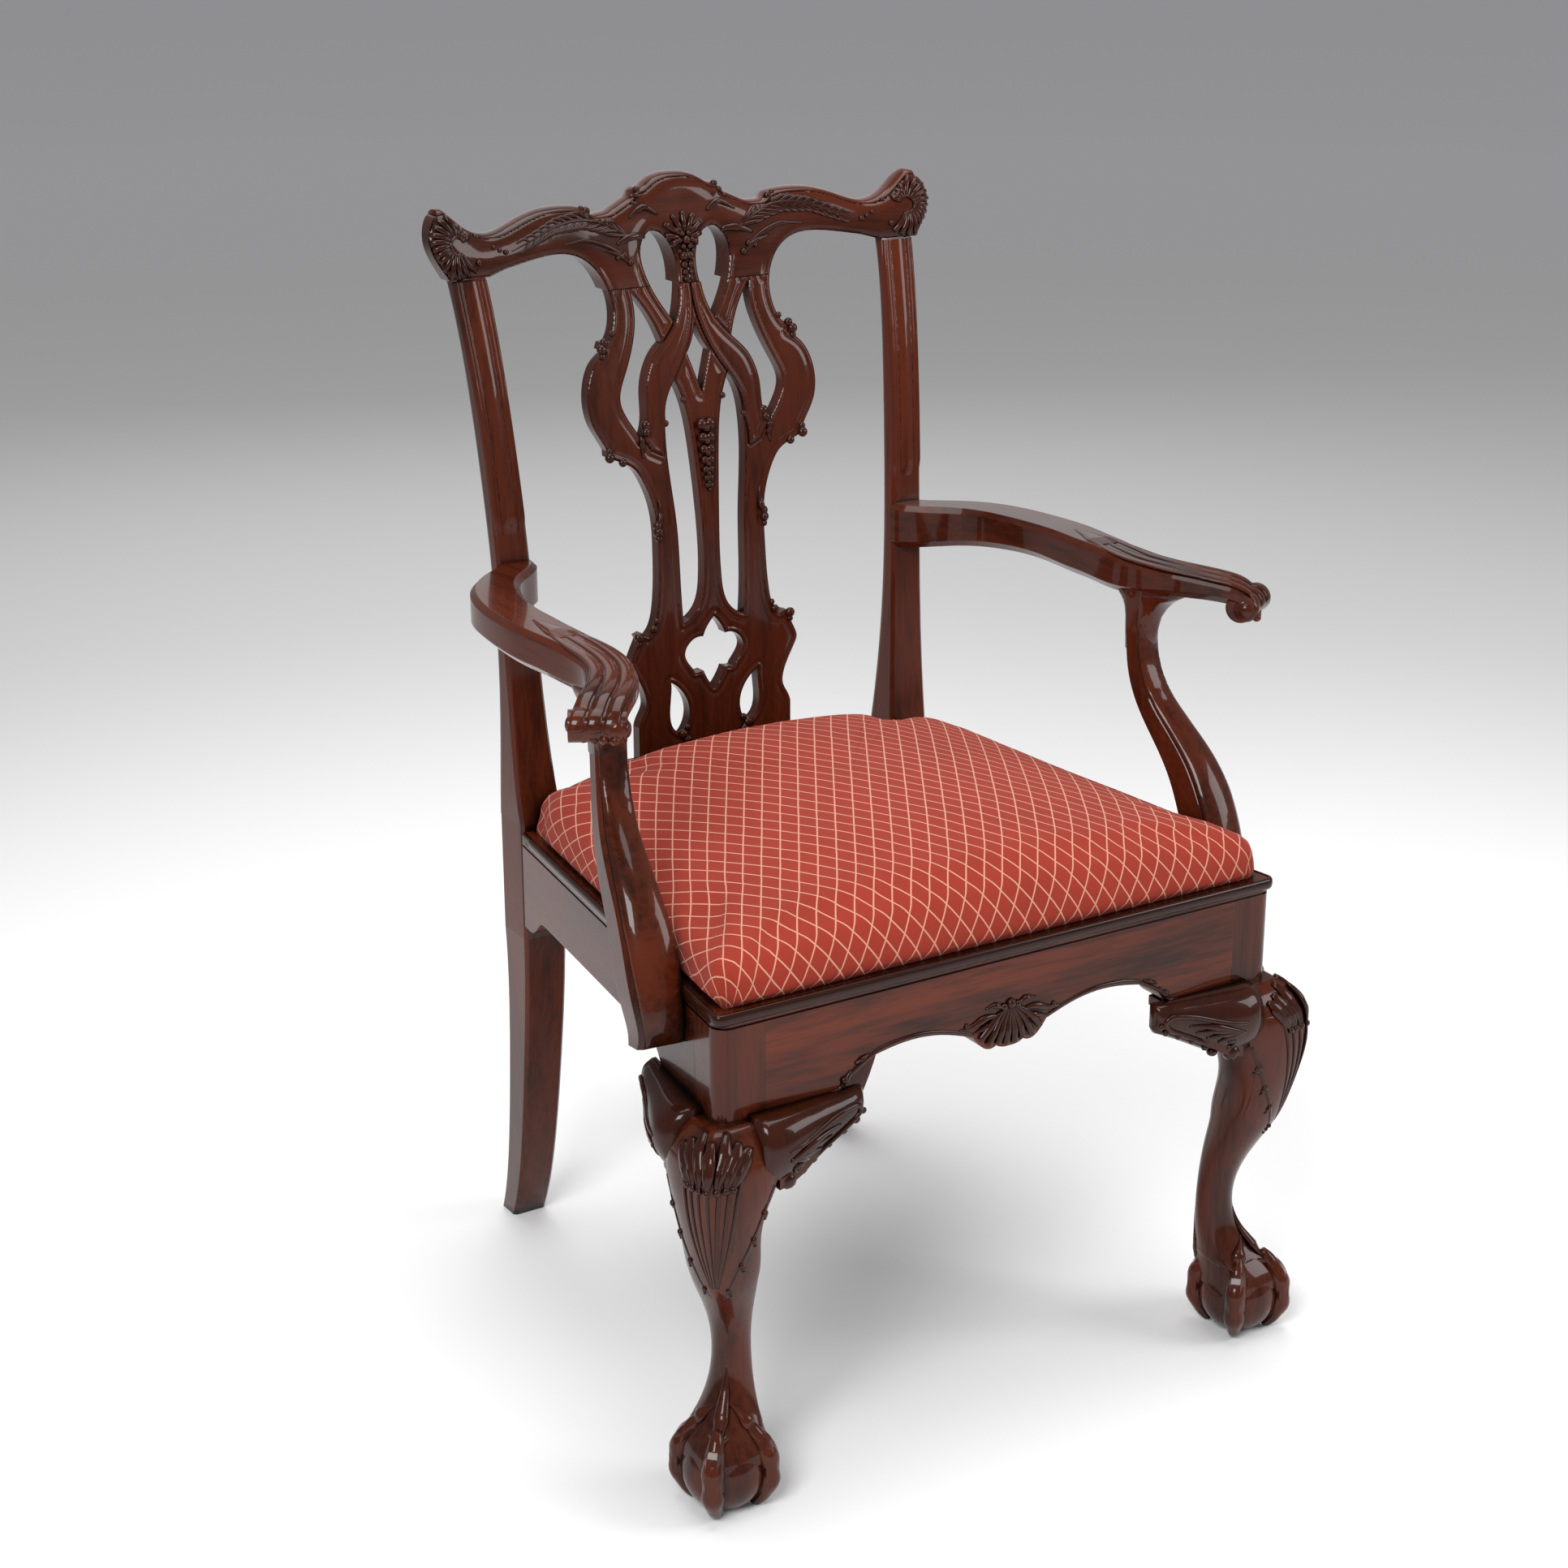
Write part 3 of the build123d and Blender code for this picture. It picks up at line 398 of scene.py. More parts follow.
def makePiece(name, verts, faces, look, body="chair_frame", outward=True):
    mesh = bpy.data.meshes.new(name)
    mesh.from_pydata([tuple(v) for v in verts], [], faces)
    mesh.update()
    if outward:
        shape = bmesh.new()
        shape.from_mesh(mesh)
        bmesh.ops.recalc_face_normals(shape, faces=shape.faces)
        shape.to_mesh(mesh)
        shape.free()
    mesh.polygons.foreach_set("use_smooth", [True] * len(mesh.polygons))
    piece = bpy.data.objects.new(name, mesh)
    scene.collection.objects.link(piece)
    dress(piece, finishes[look])
    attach(piece, body)
    return piece


# Carving gathered in one mesh: ribs, beads and limbs, on a face near y that looks forward or on any surface
class Carving:
    def __init__(self, name, face=None, y=0):
        self.name, self.face, self.y = name, face, y
        self.verts, self.faces = [], []

    def loft(self, rings):
        start = len(self.verts)
        n = len(rings[0])
        for ring in rings:
            self.verts += ring
        self.faces += bands(len(rings), n, start)
        self.faces.append(tuple(start + k for k in reversed(range(n))))
        self.faces.append(tuple(start + (len(rings) - 1) * n + k for k in range(n)))

    # Half round rib along met points, widths and heights in millimetres from its start to its end
    def rib(self, met, wide, high, sink=0.0006):
        if len(met) < 3:
            return
        rings = []
        line = [p for p, n in met]
        for i, (p, n) in enumerate(met):
            side = wayAt(line, i).cross(n).normalized()
            t = i / (len(met) - 1)
            w = share(wide, t) * 0.001 / 2
            h = share(high, t) * 0.001
            rings.append([p + side * (cos(a) * w) + n * (sin(a) * h - sink * (k in (0, 8)))
                          for k, a in enumerate(pi * k / 8 for k in range(9))])
        self.loft(rings)

    # Rib drawn on the face, x and z in millimetres
    def vein(self, side, points, wide, high):
        self.rib(trace(self.face, [(mm(side * x, self.y, z), backward) for x, z in points]), wide, high)

    def ball(self, centre, normal, radius, flat=1.0):
        side = normal.orthogonal().normalized()
        other = normal.cross(side)
        rings = []
        for i in range(1, 8):
            b = pi * (i / 8 - 0.5)
            r = radius * cos(b)
            level = centre + normal * (radius * flat * sin(b))
            rings.append([level + side * (r * cos(a)) + other * (r * sin(a)) for a in turns(12)])
        self.loft(rings)

    # Bead at a met place, its centre a little way out
    def bead(self, m, radius, flat=0.8):
        if m:
            self.ball(m[0] + m[1] * radius * 0.25, m[1], radius, flat)

    # Beads on the face, each with x, z and radius in millimetres
    def studs(self, side, rows, flat=0.8):
        for x, z, r in rows:
            self.bead(meet(self.face, mm(side * x, self.y, z), backward), r * 0.001, flat)

    # Round limb through stations of place and radius
    def limb(self, stations, across, sides=14):
        line = smoothLine(stations, 0.0025)
        places = [Vector(q[:3]) for q in line]
        rings = []
        for i, q in enumerate(line):
            other = wayAt(places, i).cross(across).normalized()
            rings.append([places[i] + (across * cos(a) + other * sin(a)) * q[3] for a in turns(sides)])
        self.loft(rings)

    def finish(self, look, slot="mahogany", body="chair_frame"):
        return makePiece(self.name, self.verts, self.faces, look, body)


relief = {"facing": -0.7, "jump": 0.0026, "joint": 0.922, "joint near": 0.0015, "edge step": 0.0008, "drop": 0.004}


# Relief over the front of a flat piece, its height worked out from the distance to the nearest edge
def frontRelief(name, node, step, heightAt, look):
    surface = surfaceOf(node)
    low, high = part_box(node)
    xs = np.arange(low.x + step / 2, high.x, step)
    zs = np.arange(low.z + step / 2, high.z, step)
    met = {}
    for i, x in enumerate(xs):
        for j, z in enumerate(zs):
            m = meet(surface, (x, low.y, z), backward)
            if m and m[1].y < relief["facing"]:
                met[i, j] = m
    shape = bmesh.new()
    shape.from_mesh(nodes[node].data)
    bmesh.ops.remove_doubles(shape, verts=shape.verts, dist=1e-6)
    shape.normal_update()
    edge = []
    for e in shape.edges:
        front = [f.normal.y < relief["facing"] for f in e.link_faces]
        if any(front) and not all(front):
            a, b = (v.co for v in e.verts)
            # the joint between splat and crest is no edge
            if abs(a.z - b.z) < 1e-5 and abs(a.z - relief["joint"]) < relief["joint near"]:
                continue
            count = max(1, int((b - a).length / relief["edge step"]))
            for k in range(count + 1):
                q = a.lerp(b, k / count)
                m = meet(surface, (q.x, low.y, q.z), backward)
                if not m or m[0].y > q.y - relief["drop"]:
                    edge.append((q.x, 0, q.z))
    shape.free()
    tree = nearTree(edge)
    verts, index = [], {}
    for (i, j), (p, n) in met.items():
        index[i, j] = len(verts)
        verts.append(p + n * heightAt(xs[i], zs[j], tree.find((xs[i], 0, zs[j]))[2]))
    faces = []
    for i, j in index:
        ring = [(i, j), (i + 1, j), (i + 1, j + 1), (i, j + 1)]
        if all(r in index for r in ring):
            deep = [met[r][0].y for r in ring]
            if max(deep) - min(deep) < relief["jump"]:
                faces.append([index[r] for r in ring])
    return makePiece(name, verts, faces, look, outward=False)


strap = {
    "step": 0.0011, "bead": 0.0016, "bead in": 0.0027, "bead half": 0.0022, "middle": 0.0011, "middle in": 0.0045,
    "slope": 0.005, "sink": 0.0002}


def strapHeight(x, z, d):
    bead = strap["bead"] * hump(d, strap["bead in"], strap["bead half"])
    return bead + strap["middle"] * ease((d - strap["middle in"]) / strap["slope"]) - strap["sink"]


splatSkin = frontRelief("splat_mouldings", "splat", strap["step"], strapHeight, "back")
print("splat moulded")

crest = {"step": 0.0012, "round": 0.0045, "over": 0.016, "ear": 0.185, "middle": 0.13, "foot": 0.924, "blend": 0.03}


def crestHeight(x, z, d):
    ear = ease((abs(x) - crest["ear"]) / crest["blend"])
    t = min(d / (crest["over"] * (1 + 1.1 * ear)), 1.0)
    full = crest["round"] * (1 + 0.7 * ear) * sqrt(max(0.0, 1 - (1 - t) ** 2)) - strap["sink"]
    low = max(ease((z - crest["foot"]) / 0.034), ease((abs(x) - crest["middle"]) / crest["blend"]))
    return full * low + strapHeight(x, z, d) * (1 - low)


crestSkin = frontRelief("crest_rounding", "crest_rail", crest["step"], crestHeight, "crest")
print("crest rounded")

stile = {
    "from": 722, "to": 944, "at": [722, 850, 944], "x": [214.1, 220.5, 226.4], "y": 190, "fade": 16, "rows": 80,
    "columns": 45, "beads": [(0.0016, 0.87, 0.13), (0.0009, 0.64, 0.1), (0.0022, 0, 0.46)]}


# Moulding up the face of a back post, from the arm to the crest
def mouldStile(hand, side):
    surface = surfaceOf("back_post_" + hand)

    def face(x, z):
        m = meet(surface, mm(x, stile["y"], z), backward)
        return m if m and m[1].y < -0.6 else None

    def reach(x, z, way):
        near, far = 0.0, 26.0
        for again in range(14):
            half = (near + far) / 2
            near, far = (half, far) if face(x + way * half, z) else (near, half)
        return x + way * (near - 0.15)

    rows, columns = stile["rows"], stile["columns"]
    work = Carving("stile_moulding_" + hand)
    for i in range(rows + 1):
        z = stile["from"] + (stile["to"] - stile["from"]) * i / rows
        x = side * float(np.interp(z, stile["at"], stile["x"]))
        left, right = reach(x, z, -1), reach(x, z, 1)
        fade = ease((z - stile["from"]) / stile["fade"])
        for k in range(columns + 1):
            u = abs(-1 + 2 * k / columns)
            m = face(left + (right - left) * k / columns, z)
            rise = sum(high * hump(u, at, half) for high, at, half in stile["beads"])
            work.verts.append(m[0] + m[1] * (rise * fade - strap["sink"] * (u > 0.98)))
    work.faces = bands(rows + 1, columns + 1, 0, columns)
    work.finish("upright")


for hand, side in hands:
    mouldStile(hand, side)
print("stiles moulded")

claw = {
    "centre": (277.5, -268.5), "reach": 43, "ball": 36, "ways": (-45, 45, 135, 225), "rear": 135, "slim": 0.45,
    "talon": [(0.46, 2.22, 3), (0.56, 2.04, 6), (0.66, 1.86, 7.2), (0.76, 1.66, 8), (0.86, 1.36, 10.2),
        (0.9, 1.06, 8.4), (0.885, 0.76, 10), (0.8, 0.46, 7.4), (0.69, 0.22, 5.4), (0.57, 0.07, 2.6)]}
ankle = {"from": 70, "to": 332, "step": 4, "sides": 72, "proud": 0.0004, "tuck": 0.0015}


# Smooth skin round the slender part of a front leg
def smoothLeg(hand, side):
    work = Carving("leg_rounding_" + hand)
    leg = surfaceOf("front_leg_" + hand)
    ways = [Vector((cos(a), sin(a), 0)) for a in turns(ankle["sides"])]
    centre = mm(side * claw["centre"][0], claw["centre"][1], 0)
    middles, far = [], []
    for z in range(ankle["from"], ankle["to"] + 1, ankle["step"]):
        for again in range(4):
            met = [meet(leg, (centre.x + 0.2 * w.x, centre.y + 0.2 * w.y, 0.001 * z), -w) for w in ways]
            spots = [m[0] for m in met if m]
            centre = sum(spots, Vector()) / len(spots)
        middles.append(centre)
        far.append([(m[0] - centre).length if m else 0.02 for m in met])
    soft = np.array(far)
    for again in range(2):
        soft = (np.roll(soft, 1, 1) + 2 * soft + np.roll(soft, -1, 1)) / 4
        soft[1:-1] = (soft[:-2] + 2 * soft[1:-1] + soft[2:]) / 4
    soft += ankle["proud"]
    soft[[0, -1]] -= ankle["tuck"]
    work.loft([[c + w * r for w, r in zip(ways, row)] for c, row in zip(middles, soft)])
    return work.finish("upright")


# Four talons with their knuckles, gripping the ball
def carveFoot(hand, side):
    work = Carving("claw_" + hand)
    leg = surfaceOf("front_leg_" + hand)
    x, y = claw["centre"]
    for way in claw["ways"]:
        a = radians(way)
        out = Vector((side * cos(a), sin(a), 0))
        rows = []
        for far, up, r in claw["talon"]:
            p = mm(side * x, y, 0) + out * (far * claw["reach"] * 0.001)
            rows.append((p.x, p.y, up * claw["ball"] * 0.001, r * 0.001))
        work.limb(rows, Vector((-out.y, out.x, 0)))
        guide = [(mm(side * x, y, z), -out) for z in (124, 108, 94, 82, 72, 64)]
        slim = claw["slim"] if way == claw["rear"] else 1.0
        work.rib(trace(leg, guide), [slim * w for w in (1.2, 4, 6.2, 9, 12.5, 15, 9)],
                 [slim * h for h in (0.3, 1.4, 2.4, 3.6, 5, 5.5, 1)])
    work.finish("upright")


knee = {
    "axis": (261, -252), "flutes": (-3, -2, -1, 0, 1, 2, 3),
    "leaves": ((-3, 336), (3, 336), (-2, 344), (2, 344), (-1, 350), (1, 350), (0, 347)),
    "curl": ((60, 302), (52, 286), (42, 266), (31, 246), (20, 224), (8, 200)),
    "berries": ((49, 280, 3), (38, 258, 2.8), (26, 236, 2.5), (13, 211, 2.2))}


# Guide of angles round the knee and heights, met with the surface
def kneeTrace(surface, side, points):
    guide = []
    for angle, z in points:
        a = radians(-45 - angle)
        out = Vector((side * cos(a), sin(a), 0))
        guide.append((mm(side * knee["axis"][0], knee["axis"][1], z), -out))
    return trace(surface, guide)


bracket = {
    "along": [-16, -8, 2, 14, 26, 38, 50, 63, 76, 86, 89.5], "top": 357.2,
    "proud": [27, 28, 28, 25.5, 22.5, 19.5, 17, 15, 13, 10.5, 5],
    "drop": [64, 64, 62.5, 60, 56, 50.5, 44, 37, 30.5, 26, 20], "side": [0, 4, 7, 8, 8, 7, 6, 5, 3, 1, 0],
    "face": -277, "front x": 241, "side x": 286, "side from": 45, "side way": (0.131, 0.991),
    "band": [(4, 331), (20, 333), (38, 338), (56, 344), (76, 347), (83, 342), (78, 335), (62, 326), (48, 319),
        (36, 312), (24, 306), (15, 307), (13, 312), (18, 316)],
    "beads": ((18, 315, 3.2), (27, 302, 5), (37, 309, 3.6), (52, 318, 3.2), (67, 326, 3.4), (80, 332, 3.6),
        (86, 339, 3)), "leaf from": (6, 322), "leaf tips": ((60, 336), (52, 328), (41, 320), (29, 314)),
    "knob": (10, 299)}


# Place on a knee bracket's face, along from the leg, and the way to it
def bracketSpot(side, front, along, z):
    if front:
        return mm(side * (bracket["front x"] - along), bracket["face"], z), backward
    t = bracket["side from"] + along
    across, back = bracket["side way"]
    return mm(side * (bracket["side x"] - across * t), bracket["face"] + back * t, z), (-side * back, -across, 0)


def bracketTrace(surface, side, front, points):
    return trace(surface, [bracketSpot(side, front, along, z) for along, z in points])


# Rolled body of a knee's C scroll over its glued bracket
def rollBracket(work, side, front):
    rings = []
    for along, proud, drop, more in zip(bracket["along"], bracket["proud"], bracket["drop"], bracket["side"]):
        proud += 0.3 * more if front else more
        spot, aim = bracketSpot(side, front, along, bracket["top"])
        ring = []
        for k in range(19):
            a = pi * (k / 18)
            swell = sin(a) ** 0.55
            lean = 1.0 if a < 1.2 else 1.0 - 0.3 * ease((a - 1.2) / 1.9)
            fall = Vector((0, 0, -0.001 * (drop + 2) * (1 - cos(a)) / 2))
            ring.append(spot - Vector(aim) * (0.001 * (-1.5 + (proud + 3.5) * swell * lean)) + fall)
        rings.append(ring)
    work.loft(rings)


def carveKnee(hand, side, skin):
    rolls = Carving("knee_scroll_" + hand)
    for front in (True, False):
        rollBracket(rolls, side, front)
    rolled = rolls.finish("carved")
    work = Carving("knee_carving_" + hand)
    leg = surfaceOf("front_leg_" + hand, rolled, skin)
    for k in knee["flutes"]:
        line = [(k * 8.5, 324), (k * 7, 300), (k * 5.4, 268), (k * 3.6, 240), (k * 1.4, 214)]
        work.rib(kneeTrace(leg, side, line), [3.6, 3.8, 3.1, 2.2, 1], [1.1, 1.6, 1.3, 0.9, 0.3])
    # leaf cluster over the flutes
    for k, top in knee["leaves"]:
        line = [(k * 6, 312), (k * 8, 325), (k * 11, 336), (k * 12.5, top)]
        work.rib(kneeTrace(leg, side, line), [4, 12.5, 14, 7], [1.4, 3.8, 4.6, 2.6])
        work.rib(kneeTrace(leg, side, line[:3]), [1, 3, 1], [1.8, 5.2, 4.5])
        work.bead(kneeTrace(leg, side, [(k * 6, 311), (k * 6, 310)])[0], 0.0032)
    for way in (-1, 1):
        # curled line from the bracket to the foot of the flutes
        line = [(way * a, z) for a, z in knee["curl"]]
        work.rib(kneeTrace(leg, side, line), [4, 5, 4.6, 4, 3, 1.4], [0.5, 1.1, 1.1, 0.9, 0.7, 0.3])
        for a, z, r in knee["berries"]:
            for k in range(3):
                at, level = way * (a + 1.5 * k), z - 3.5 * k
                work.bead(kneeTrace(leg, side, [(at, level), (at, level + 1)])[0], r * (1 - 0.22 * k) * 0.001)
        front = way > 0
        # band of the bracket's C scroll, its knob and its leaves
        work.rib(bracketTrace(leg, side, front, bracket["band"]), [3, 4.5, *[5] * 8, 4.5, 4, 3],
                 [1, 1.8, 2, 2.2, 2.4, 2.4, 2.4, 2.6, 2.8, 2.8, 2.8, 2.5, 2])
        for a, z, r in bracket["beads"]:
            work.bead(meet(leg, *bracketSpot(side, front, a, z)), r * 0.001)
        spot, aim = bracketSpot(side, front, *bracket["knob"])
        work.ball(spot - Vector(aim) * 0.0165, -Vector(aim), 0.0082, 0.9)
        a, z = bracket["leaf from"]
        for tip in bracket["leaf tips"]:
            line = [(a, z), (0.5 * (a + tip[0]), 0.5 * (z + tip[1]) + 2), tip]
            work.rib(bracketTrace(leg, side, front, line), [3, 7, 2.5], [1.6, 3.2, 1.2])
    work.finish("carved")


for hand, side in hands:
    skin = smoothLeg(hand, side)
    carveFoot(hand, side)
    carveKnee(hand, side, skin)
print("feet and knees carved")

apron = {
    "y": -277, "shell": 391,
    "edge": [(38, 374), (70, 384), (100, 387), (132, 383), (160, 368), (168, 359), (180, 355.2), (238, 355.2)],
    "lobes": [(-31, 367), (-23, 361), (-13, 360), (-4.5, 358), (4.5, 358), (13, 360), (23, 361), (31, 367)],
    "leaves": [([(8, 384), (24, 386), (40, 381), (52, 380)], 7.5), ([(9, 379), (24, 378), (38, 374)], 6.5),
        ([(5, 389), (15, 395), (26, 394)], 6), ([(160, 371), (164, 365), (170, 359)], 6),
        ([(156, 376), (150, 379), (142, 382)], 4)]}


# Shell at the middle of the front rail and a bead round its shaped edge
def carveApron():
    work = Carving("front_rail_carving", surfaceOf("front_seat_rail"), apron["y"])
    for side in (-1, 1):
        work.vein(side, apron["edge"], [2.5, 4.2, 4.2, 4.2, 3], [1, 1.7, 1.7, 1.7, 1.2])
        for leaf, wide in apron["leaves"]:
            work.vein(side, leaf, [2.5, wide, 1.8], [1.4, 3.6, 1])
        work.studs(side, ((166, 364, 3.6), (7, 392, 3.4), (12, 386, 2.6), (45, 383, 2.4)))
    high = apron["shell"]
    for x, z in apron["lobes"]:
        line = [(x * 0.12, high), (x * 0.55, 0.5 * (high + z) + 3), (x, z)]
        work.vein(1, line, [3, 5.8, 7.8, 6.8], [1.6, 3, 4.8, 3.6])
    work.studs(1, [(0, 394, 4.6)])
    work.finish("carved")


carveApron()

seatShape = {
    "half front": 0.286, "half back": 0.226, "front": -0.277, "back": 0.177, "lip": 0.012, "rear": 0.2,
    "notch": 0.183, "gap": 0.001, "over": 0.0095, "low": 0.4294, "base": 0.4528, "high": 0.067, "round": 0.013,
    "count": 520}


def sideX(y, inward):
    s = seatShape
    return s["half front"] - (s["half front"] - s["half back"]) / (s["back"] - s["front"]) * (y - s["front"]) - inward


lip = {
    "back": 173, "corner": 9, "at": (286, -277), "steps": 24,
    "profile": [(-2.5, 447.7), (-0.2, 447.5), (0.9, 445.8), (1.3, 442.6), (0.9, 439.4), (-0.2, 437.6), (-2.5, 437.2)]}


# Half round lip along the tops of the rails, rounded at the front corners
def runLip():
    work = Carving("rail_lip")
    x, y = lip["at"]
    c, steps = lip["corner"], lip["steps"]
    rear = Vector((sideX(lip["back"] * 0.001, 0) * 1000, lip["back"]))
    turn = []
    for k in range(9):
        t = k / 8
        turn.append(bend(Vector((x + 0.12 * c, y + c)), Vector((x, y)), Vector((x - c, y)), t))
        turn[-1].x -= 0.25 * c * (1 - t) ** 2
    right = [rear.lerp(turn[0], k / steps) for k in range(steps)] + turn
    front = [Vector((c - x, y)).lerp(Vector((x - c, y)), k / steps) for k in range(1, steps)]
    path = [Vector((-p.x, p.y)) for p in right] + front + right[::-1]
    rings = []
    for i, p in enumerate(path):
        way = wayAt(path, i).normalized()
        rings.append([mm(p.x + way.y * out, p.y - way.x * out, z) for out, z in lip["profile"]])
    work.loft(rings)
    # the lip's near-black mahogany is painted shade
    work.finish("lip")


runLip()

crestWork = {
    "y": 240, "roll": 0.0048, "ear": (237, 976), "rosette": (0, 962), "leaves": 12,
    "stem": [(56, 966), (78, 979), (104, 986), (134, 983), (160, 973), (182, 966)],
    "tips": ((41, 3.6), (46, 2.8), (96, 3.8), (101, 2.8)), "berries": ((0, 1, 4.4), (6.5, 6, 3), (12, 10, 2.4)),
    "husks": ((946, 4.2), (938, 3.4), (931, 2.8), (925, 2.2))}


# Highest point of the crest's front edge at x, with the front and back of the edge there
def crestEdge(rail, x):
    def hit(y, z, way):
        return rail.ray_cast(Vector((x, y, z)), Vector((0, way, 0)), 0.3)[0]

    step = 0.002
    z = 1.03
    while step > 0.0001 and z > 0.93:
        if hit(0.1, z, 1):
            z += step
            step /= 4
        z -= step
    front, back = hit(0.1, z - 0.0015, 1), hit(0.4, z - 0.0015, -1)
    return (front, back, z) if front and back and back.y - front.y > 0.006 else None


# Acanthus, shell and ears on the crest
def carveCrest():
    rail = surfaceOf("crest_rail")
    work = Carving("crest_carving", surfaceOf("crest_rail", crestSkin), crestWork["y"])
    stem, ear, (rx, rz) = (crestWork[k] for k in ("stem", "ear", "rosette"))

    def stemZ(x):
        return float(np.interp(x, *zip(*stem)))

    for side in (-1, 1):
        work.vein(side, stem, [3, 4, 3.6, 3, 2.2, 1.2], [1, 1.5, 1.4, 1.2, 0.9, 0.4])
        for k in range(crestWork["leaves"] + 1):
            t = k / crestWork["leaves"]
            x = 60 + 102 * t
            long = 27 - 13 * t
            for up in (-1, 1):
                stops = ((0, 0), (0.4, 4.6), (0.8, 8.5 - 4 * t), (1, 7.6 - 3.6 * t))
                leaf = [(x + f * long, stemZ(x + f * long) + up * rise) for f, rise in stops]
                work.vein(side, leaf, [1.6, 4.2 - t, 4.4 - 1.4 * t, 1.4], [0.6, 1.8, 2.2 - 0.6 * t, 0.5])
        for line in ([(66, 952), (84, 962), (104, 968), (126, 966)], [(60, 944), (72, 953), (88, 958)]):
            work.vein(side, line, [2, 5, 4, 1.6], [0.8, 2.4, 2, 0.7])
        work.studs(side, ((66, 952, 3), (60, 945, 3.2), (73, 950, 2.4), (188, 966, 2.6), (194, 968, 2.2),
                          (200, 971, 2)))
        # flat scroll ends either side of the shell
        work.vein(side, [(30, 963), (44, 967), (58, 967), (72, 962)], [5, 7.5, 7, 3], [1.6, 3, 2.8, 1])
        work.vein(side, [(26, 985), (38, 992), (46, 990), (56, 984)], [3, 6.5, 6, 2], [1.4, 3.6, 3, 1])
        # leaf tips that stand above the top edge
        for x, r in crestWork["tips"]:
            edge = crestEdge(rail, side * x * 0.001)
            if edge:
                top = Vector((side * x * 0.001, edge[0].y, edge[2]))
                for off, way, wide, flat in (((0, 4, 2.2), (side * 0.4, -0.3, 1), r, 1.15),
                                             ((side * 2.5, -1, -2), (0, -1, 0.4), r * 0.8, 1.0)):
                    work.ball(top + mm(*off), Vector(way).normalized(), wide * 0.001, flat)
        # ribs round the ear
        for k in range(17):
            a = radians(-105 + 16.5 * k)
            line = [around(ear, r, a - 0.012 * r) for r in (7, 14, 21, 29)]
            work.vein(side, line, [3, 5.5, 6.2, 4.5], [1.4, 3, 3.2, 1.8])
        arc = [around(ear, 7.5, radians(a)) for a in range(-110, 190, 30)]
        work.vein(side, arc, 3.5, [1.4, 2.6, 2.6, 1.4])
        work.studs(side, ((220, 985, 4.2), (215, 981, 3.0), (225, 991, 3.2), (218, 960, 2.8)))
    # shell and berries at the middle
    for k in range(9):
        a = radians(90 + (k - 4) * 27)
        work.vein(1, [around((rx, rz), r, a) for r in (5, 13, 22)], [3, 6.5, 5.5], [1.6, 3.8, 2.4])
        work.studs(1, [(rx + 23 * cos(a), rz + 21.5 * sin(a), 2.7)])
    for ring, count, r in crestWork["berries"]:
        for k in range(count):
            a = tau * (k + 0.5 * (ring > 8)) / count
            work.studs(1, [(*around((rx, rz - 2), ring, a), r)], 1.1)
    for z, r in crestWork["husks"]:
        work.studs(1, ((-3.2, z, r), (3.2, z, r)))
    work.finish("carved")


splatWork = {
    "y": 190, "husks": (794, 782, 771, 761, 752, 744, 737),
    "curls": [(84, 603, 1), (105, 775, -1), (103, 872, 1), (36, 500, -1), (40, 805, 1), (76, 800, -1),
        (62, 700, 1)]}


# Leaf curls on the straps and the husks down the stem of the splat
def carveSplat():
    work = Carving("splat_carving", surfaceOf("splat", splatSkin), splatWork["y"])
    for side in (-1, 1):
        for x, z, way in splatWork["curls"]:
            for dx, dz, r in ((0, 0, 5.0), (-4.5, way * 6, 4.2), (-7, way * 13, 3.2), (2, -way * 6, 3.4)):
                # moved inward until it lies on a strap
                places = [x + dx - k for k in range(16)]
                on = (p for p in places if meet(work.face, mm(side * p, work.y, z + dz), backward))
                work.studs(side, [(next(on, places[0]), z + dz, r)])
            leaf = [(x - 1, z), (x - 6, z + way * 9), (x - 8, z + way * 20), (x - 7, z + way * 30)]
            work.vein(side, leaf, [6, 6.5, 4.5, 1.6], [3, 3.2, 2.2, 0.8])
    for k, z in enumerate(splatWork["husks"]):
        r = 5.8 - 0.52 * k
        work.studs(1, ((-r * 0.75, z, r), (r * 0.75, z, r)))
        work.studs(1, [(0, z - 4, r * 0.7)], 1.2)
    work.finish("carved")


# Rounded back over the crest's top edge
def rollCrest():
    work = Carving("crest_top")
    rail = surfaceOf("crest_rail")
    edges = []
    for k in range(241):
        x = 0.001 * (-251 + 502 * k / 240)
        edge = crestEdge(rail, x)
        if edge:
            edges.append((x, edge[0].y, edge[1].y, edge[2]))
    tops = np.pad([edge[3] for edge in edges], 2, "edge")
    rings = []
    for (x, front, back, z), soft in zip(edges, np.convolve(tops, np.ones(5) / 5, "valid")):
        middle, half = (front + back) / 2, (back - front) / 2
        base = max(z, soft) - 0.0006
        rings.append([Vector((x, middle - half * 1.02 * cos(a), base + crestWork["roll"] * sin(a)))
                      for a in (pi * j / 12 for j in range(13))])
    work.loft(rings)
    work.finish("crest")


rollCrest()
carveCrest()
carveSplat()
print("crest and splat carved")

